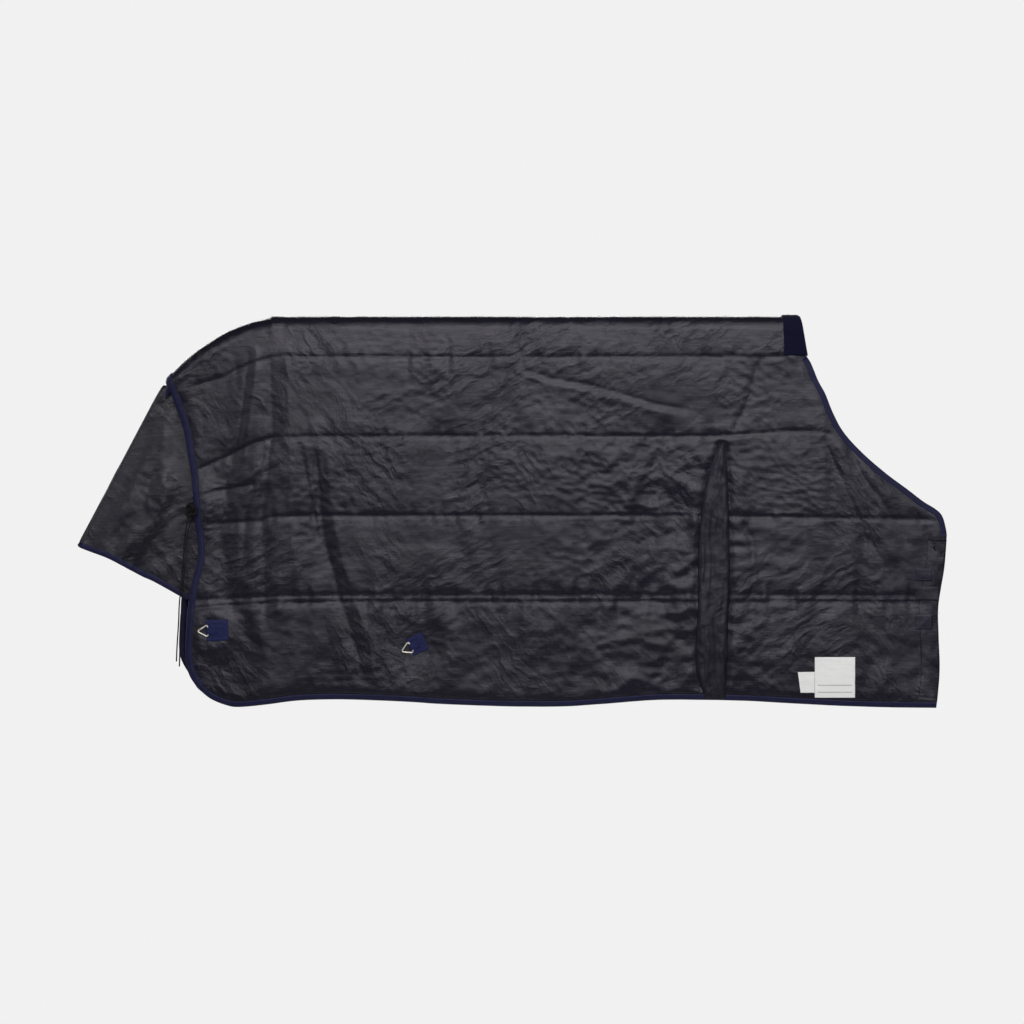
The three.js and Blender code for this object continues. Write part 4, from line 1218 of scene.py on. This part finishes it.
class RUG_OT_tail_flap(bpy.types.Operator):
    """Tail flap, folded over its own middle, with its bound hem"""
    bl_idname = "rug.tail_flap"
    bl_label = "Tail flap"

    def execute(self, context):
        g = flap_layer()
        x, z = g[..., 0], g[..., 1]

        def both(r, lift):
            near = np.stack([x, -(flap_y(x, z, r, 61) + lift), z], -1)
            off = np.stack([x, flap_y(x, z, r, 81) + lift, z], -1)
            near[0, :, 1] = off[0, :, 1] = 0
            return np.vstack([near[::-1], off[1:]]) * MM

        lining = cloth_piece("tail_flap_lining", both(FLAP_R, 0.0), both(FLAP_R - 1, -0.9),
                             material("flap"), "rug", "lining_nylon")
        shell = cloth_piece("tail_flap_shell", both(FLAP_R - 1.4, -1.2),
                            both(FLAP_R - 2.3, -2.1), material("shell"), "rug", "shell_fabric")
        line = even(spline([(-1016, -492)] + FLAP_HEM, 120), 66)
        n = inward_of(line)
        parts = []
        for side, seed in ((-1, 61), (1, 81)):
            def at(off, lift):
                p = line + n * off
                y = flap_y(p[:, 0], p[:, 1], FLAP_R, seed)
                return np.stack([p[:, 0], side * (y + lift), p[:, 1]], 1) * MM
            parts.append(np.stack([at(12, 0.1), at(11.5, 1.0), at(6, 1.5), at(1, 1.1),
                                   at(-0.8, -0.4), at(-0.8, -2.0), at(1, -3.4), at(6, -3.6),
                                   at(12, -3.4), at(12, -2.6), at(2, -2.6), at(2, 0.1)], 1))
        pieces = [loft_piece(f"tail_flap_{word}_binding", part, material("binding"), "rug",
                             "navy_binding") for word, part in zip(("near", "off"), parts)]
        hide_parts("tail_flap_binding")
        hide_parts("tail_flap_lining")
        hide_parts("tail_flap_shell")
        sew = []
        for side, seed in ((-1, 61), (1, 81)):
            p = line + n * 10.4
            y = flap_y(p[:, 0], p[:, 1], FLAP_R, seed)
            sew.append(np.stack([p[:, 0], side * (y + 1.1), p[:, 1]], 1) * MM)
        thread = stitches("tail_flap_stitches", sew, "navy_thread", "rug",
                          pitch=0.0045, long=0.003)
        for piece in (lining, shell, *pieces, thread):
            piece.parent = None
            if "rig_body" in piece:
                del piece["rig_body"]
            piece.matrix_world = Matrix.Identity(4)
            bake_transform(piece)
        area = 2 * abs(self.area_of(g))
        return {"FINISHED"}

    @staticmethod
    def area_of(g):
        a = (g[1:, 1:] - g[:-1, :-1]).reshape(-1, 2)
        b = (g[1:, :-1] - g[:-1, 1:]).reshape(-1, 2)
        return float(np.abs(a[:, 0] * b[:, 1] - a[:, 1] * b[:, 0]).sum() / 2 * MM * MM)


def wire_triangle(corners, bend, steps=9):
    """Closed line through the corners with round bends, in the plane of the corners."""
    c = np.array(corners, float)
    n = len(c)
    out = []
    for i in range(n):
        a, b, d = c[i - 1], c[i], c[(i + 1) % n]
        u, v = (a - b) / np.linalg.norm(a - b), (d - b) / np.linalg.norm(d - b)
        half = math.acos(float(np.clip(u.dot(v), -1, 1))) / 2
        cut = bend / math.tan(half)
        p, q = b + u * cut, b + v * cut
        mid = (u + v) / np.linalg.norm(u + v)
        o = b + mid * bend / math.sin(half)
        e1 = (p - o) / bend
        e2 = q - o
        turn = math.acos(float(np.clip(e1.dot(e2 / np.linalg.norm(e2)), -1, 1)))
        e2 = e2 - e1 * e1.dot(e2)
        e2 /= np.linalg.norm(e2)
        for s in np.linspace(0, turn, steps):
            out.append(o + bend * (math.cos(s) * e1 + math.sin(s) * e2))
    out = np.array(out)
    dense = []
    for a, b in zip(out, np.roll(out, -1, 0)):
        k = max(1, int(np.linalg.norm(b - a) / 2.5))
        dense += [a + (b - a) * j / k for j in range(k)]
    return np.array(dense)


def ribbon_piece(name, path, width_axis, wide, thick, mat, body, slot, edge=0.35):
    """Webbing along a path (n, 3), flat across width_axis, with rounded selvedges."""
    p = np.asarray(path, float)
    t = np.gradient(p, axis=0)
    t /= np.linalg.norm(t, axis=1)[:, None]
    a = np.array(width_axis, float)
    n = np.cross(t, a)
    n /= np.linalg.norm(n, axis=1)[:, None]
    h, w = thick / 2, wide / 2
    section = [(-w, -h * edge), (-w + h, -h), (w - h, -h), (w, -h * edge), (w, h * edge),
               (w - h, h), (0, h), (-w + h, h), (-w, h * edge)]
    rings = np.stack([p + a * u + n * v for u, v in section], 1)
    return loft_piece(name, rings * MM, mat, body, slot)


class RUG_OT_leg_fittings(bpy.types.Operator):
    """Leg strap rings with their patches and webbing loops"""
    bl_idname = "rug.leg_fittings"
    bl_label = "Leg strap fittings"

    def execute(self, context):
        wire = context.scene.rug_sizes.ring_wire / 2
        sew = []
        for side, word in WORD.items():
            for place_word, x, z, angle, pu, pv in LEG_RINGS:
                c, s = math.cos(math.radians(angle)), math.sin(math.radians(angle))

                def at(u, v, y):
                    return np.array([x + u * c - v * s, side * y, z + u * s + v * c])

                def flat(u, v):
                    q = at(u, v, 0)
                    return (q[0], q[2])

                h = pv / 2
                corners = [flat(-pu + 4, -h), flat(4, -h), flat(4, h), flat(-pu + 4, h)]
                patch = patch_on_lining(f"{word}_{place_word}_leg_patch", corners, side, 1.2, 0.2,
                                        material("webbing"), "navy_webbing", n=22, crown=0.7)
                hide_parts(f"{word}_{place_word}_leg_patch")
                box = [(-pu + 8, -h + 4), (0, -h + 4), (0, h - 4), (-pu + 8, h - 4),
                       (-pu + 8, -h + 4)]
                cross = [[box[0], box[2]], [box[1], box[3]]]
                for run in [box] + cross:
                    pts = [flat(*q) for q in run]
                    line = even(np.array(pts, float), max(2, int(length_of(pts) / 3)))
                    w = line[:, 1] - UNROLL
                    q = np.array(run, float)
                    uv = even(q, len(line))
                    fu = (uv[:, 0] + pu - 4) / pu
                    fv = (uv[:, 1] + h) / pv
                    r = patch_face(line[:, 0], line[:, 1], fu, fv, side, 1.45, 0.2, 0.7)
                    sew.append(place(line[:, 0], w, r, side))
                # webbing loop round the ring's base
                arc = [(2.9 * math.cos(q), 2.9 * math.sin(q)) for q in
                       np.linspace(-math.pi / 2, math.pi / 2, 12)]
                prof = [(-18.0, RING_Y - 2.0), (-9, RING_Y - 2.4), (-3, RING_Y - 2.75)]
                prof += [(a, RING_Y + b) for a, b in arc]
                prof += [(-5, RING_Y + 2.1), (-11, RING_Y + 0.1), (-18, RING_Y - 0.9)]
                prof = even(np.array(prof, float), 40)
                path = np.array([at(u, 0, y) for u, y in prof])
                axis = at(0, 1, 0) - at(0, 0, 0)
                loop = ribbon_piece(f"{word}_{place_word}_leg_loop", path, axis, 15, 1.0,
                                    material("webbing"), "rug", "navy_webbing")
                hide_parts(f"{word}_{place_word}_leg_loop")
                tri = wire_triangle([(0, -14), (24, 0), (0, 14)], 3)
                line = np.array([at(u, v, RING_Y) for u, v in tri]) * MM
                ring = tube_piece(f"{word}_{place_word}_leg_ring", line, wire, material("ring"),
                                  f"{word}_{place_word}_leg_ring", "ring_metal", closed=True,
                                  sides=20)
                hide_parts(f"{word}_{place_word}_leg_ring")
        stitches("leg_patch_stitches", sew, "navy_thread", "rug", pitch=0.0034,
                 long=0.0025, wide=0.0008)
        return {"FINISHED"}


class RUG_OT_labels(bpy.types.Operator):
    """Care label and size tag, without lettering"""
    bl_idname = "rug.labels"
    bl_label = "Labels"

    def execute(self, context):
        side = -1
        x0, x1, z0, z1 = 619, 708, -748, -838
        big = [(x0, z0), (x1, z0), (x1, z1), (x0, z1)]
        label = patch_on_lining("care_label", big, side, 0.8, 0.2, material("label"), "label",
                                n=40, crown=0.5)
        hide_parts("care_label")
        tag = [(581, -781), (618.5, -781), (618.5, -827), (587, -827)]
        small = patch_on_lining("size_tag", tag, side, 0.6, 0.6, material("label"), "label", n=18,
                                crown=0.4)
        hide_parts("size_tag")

        def on(pts, lift):
            """Line (x, z) laid on the care label, in metres."""
            line = even(np.array(pts, float), max(4, int(length_of(pts) / 3)))
            u = np.clip((line[:, 0] - x0) / (x1 - x0), 0, 1)
            v = np.clip((z0 - line[:, 1]) / (z0 - z1), 0, 1)
            r = patch_face(line[:, 0], line[:, 1], u, v, side, 0.8 + lift, 0.2, 0.5)
            return place(line[:, 0], line[:, 1] - UNROLL, r, side)

        rules = [on([(626, z), (701, z)], 0.12) for z in (-810.2, -825.8)]
        stitches("label_rules", rules, "label_rule", "rug", pitch=0.0012, long=0.0022,
                 wide=0.0011)
        hem = [on([(621, -750), (706, -750), (706, -836), (621, -836), (621, -750)], 0.1)]
        stitches("label_stitches", hem, "label", "rug", pitch=0.0035, long=0.0025,
                 wide=0.0007)
        return {"FINISHED"}


class RUG_OT_chest(bpy.types.Operator):
    """Chest straps, buckles and keepers inside the fold"""
    bl_idname = "rug.chest"
    bl_label = "Chest closure"

    def execute(self, context):
        up = np.array([0, 0, 1.0])

        def bend(cx, cy, r, a0, a1, n):
            """Arc (x, y) about a centre, from angle a0 to a1 in degrees."""
            a = np.radians(np.linspace(a0, a1, n))
            return [(cx + r * math.cos(t), cy + r * math.sin(t)) for t in a]

        for word, z in STRAP_Z.items():
            strap = [(838, -21.2)] + bend(866, 0, 21.2, -90, 90, 28) + [
                (852, 21.2), (843, 21.0), (828, 16.2), (820.5, 13.4), (816, 13.1), (811, 13.7),
                (802, 17.0), (798, 17.4), (740, 17.4)]
            strap = even(np.array(strap, float), 110)
            path = np.stack([strap[:, 0], strap[:, 1], np.full(len(strap), z)], 1)
            obj = ribbon_piece(f"{word}_chest_strap", path, up, 38, 1.6, material("chest"), "rug",
                               "chest_webbing")
            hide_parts(f"{word}_chest_strap")
            chape = [(768, 21.2), (800, 21.2)] + bend(BAR_X, BAR_Y, BAR_LOOP, 90, -90, 12) + [
                (811, 16.2), (803, 19.0), (772, 19.4)]
            chape = even(np.array(chape, float), 60)
            path = np.stack([chape[:, 0], chape[:, 1], np.full(len(chape), z)], 1)
            obj = ribbon_piece(f"{word}_buckle_chape", path, up, 36, 1.1, material("chest"),
                               "rug", "chest_webbing")
            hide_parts(f"{word}_buckle_chape")
            frame_line = wire_triangle([(816, 23.3), (846, 23.3), (846, -23.3), (816, -23.3)], 4)
            line = np.stack([frame_line[:, 0], np.full(len(frame_line), BAR_Y),
                             frame_line[:, 1] + z], 1)
            obj = tube_piece(f"{word}_buckle_frame", line * MM, 0.0018, material("buckle"), "rug",
                             "buckle_metal", closed=True, sides=16)
            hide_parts(f"{word}_buckle_frame")
            prong = spline([(818.5, 15.9), (826, 15.7), (838, 15.3), (847.5, 15.1)], 20)
            hook = bend(BAR_X, BAR_Y, BAR_LOOP, 150, -45, 14)
            line = np.array(hook + [tuple(q) for q in prong])
            line = np.stack([line[:, 0], line[:, 1], np.full(len(line), z)], 1)
            obj = tube_piece(f"{word}_buckle_prong", line * MM, 0.0012, material("buckle"),
                             f"{word}_buckle_prong", "buckle_metal", sides=12)
            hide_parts(f"{word}_buckle_prong")
            ring = wire_triangle([(23.0, 20.5), (23.0, -20.5), (15.9, -20.5), (15.9, 20.5)], 1.2)
            rings = []
            for y, dz in ring:
                out = np.array([y - KEEPER_Y, dz])
                out = out / np.linalg.norm(out)
                rings.append([(784, y, z + dz), (796, y, z + dz),
                              (796, y - 0.9 * out[0], z + dz - 0.9 * out[1]),
                              (784, y - 0.9 * out[0], z + dz - 0.9 * out[1])])
            obj = loft_piece(f"{word}_strap_keeper", np.array(rings) * MM, material("chest"),
                             "rug", "chest_webbing", closed=True, smooth=False)
            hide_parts(f"{word}_strap_keeper")
        return {"FINISHED"}


class RUG_OT_stitching(bpy.types.Operator):
    """Quilting, the bindings' seams and the box stitches at the chest"""
    bl_idname = "rug.stitching"
    bl_label = "Stitching"

    def execute(self, context):
        for side, word in WORD.items():
            lines = [on_lining(v, side, 0.35) for v in QUILT.values()]
            lines.append(on_lining(DART, side, 0.35))
            for key in ("rump", "hem", "neck"):
                _, line, n = HEM_LINES[word, key]
                lines.append(seam_along(line, n, 15.5, side, 0.3))
            for seat, x0, x1, z0, z1 in (("upper", 843, 879, -551, -579.5),
                                         ("band", 842, 893, -592, -622),
                                         ("lower", 843, 879, -653.5, -687)):
                patch_on_lining(f"{word}_strap_seat_{seat}",
                                [(x0, z0), (x1, z0), (x1, z1), (x0, z1)], side, 1.0, 1.5,
                                material("gusset"), "lining_nylon", n=16, crown=0.2)
            _, line, n = HEM_LINES[word, "facing"]
            lines += [seam_along(line, n, off, side, 1.6) for off in (38, 5)]
            boxes = []
            box = [(844.4, -554.7), (875.5, -554.7), (875.5, -575.8), (844.4, -575.8)]
            low = [(846.6, -656.9), (875.5, -656.9), (875.5, -683.6), (846.6, -683.6)]
            for a, b, c, d in (box, low):
                for run in ([a, b, c, d, a], [a, c], [b, d]):
                    boxes.append(on_seat(run, side))
            boxes.append(on_seat([(890, -554.7), (897, -575.8)], side))
            boxes.append(on_seat([(842, -650.2), (895, -650.2)], side))
            stitches(f"{word}_box_stitches", boxes, "navy_thread", "rug",
                     pitch=0.0034, long=0.0026, wide=0.0009)
            stitches(f"{word}_quilting", lines, "thread", "rug")
            sew = [seam_along(HEM_LINES[word, key][1], HEM_LINES[word, key][2], 10.3, side, lift)
                   for key, lift in (("rump", 1.3), ("hem", 1.9), ("neck", 1.9))]
            stitches(f"{word}_binding_stitches", sew, "navy_thread", "rug",
                     pitch=0.0045, long=0.0032, wide=0.0008)
        return {"FINISHED"}


class RUG_PT_panel(bpy.types.Panel):
    """Sizes, colours and pieces of the rug"""
    bl_idname = "RUG_PT_panel"
    bl_label = "Turnout rug"
    bl_space_type = "VIEW_3D"
    bl_region_type = "UI"
    bl_category = "Rug"

    def draw(self, context):
        for group in (context.scene.rug_sizes, context.scene.rug_colours):
            for key in group.__annotations__:
                self.layout.prop(group, key)
        for op in OPERATORS:
            self.layout.operator(op.bl_idname)


OPERATORS = (RUG_OT_stage, RUG_OT_fillet, RUG_OT_halves, RUG_OT_gussets, RUG_OT_bindings,
             RUG_OT_withers_pad, RUG_OT_tail_flap, RUG_OT_leg_fittings, RUG_OT_labels,
             RUG_OT_chest, RUG_OT_stitching)
CLASSES = (RugSizes, RugColours, *OPERATORS, RUG_PT_panel)


def register():
    for cls in CLASSES:
        bpy.utils.register_class(cls)
    bpy.types.Scene.rug_sizes = bpy.props.PointerProperty(type=RugSizes)
    bpy.types.Scene.rug_colours = bpy.props.PointerProperty(type=RugColours)


def unregister():
    del bpy.types.Scene.rug_colours
    del bpy.types.Scene.rug_sizes
    for cls in reversed(CLASSES):
        bpy.utils.unregister_class(cls)


def main():
    register()
    for op in OPERATORS:
        getattr(bpy.ops.rug, op.bl_idname.split(".")[1])()


if __name__ == "__main__":
    main()
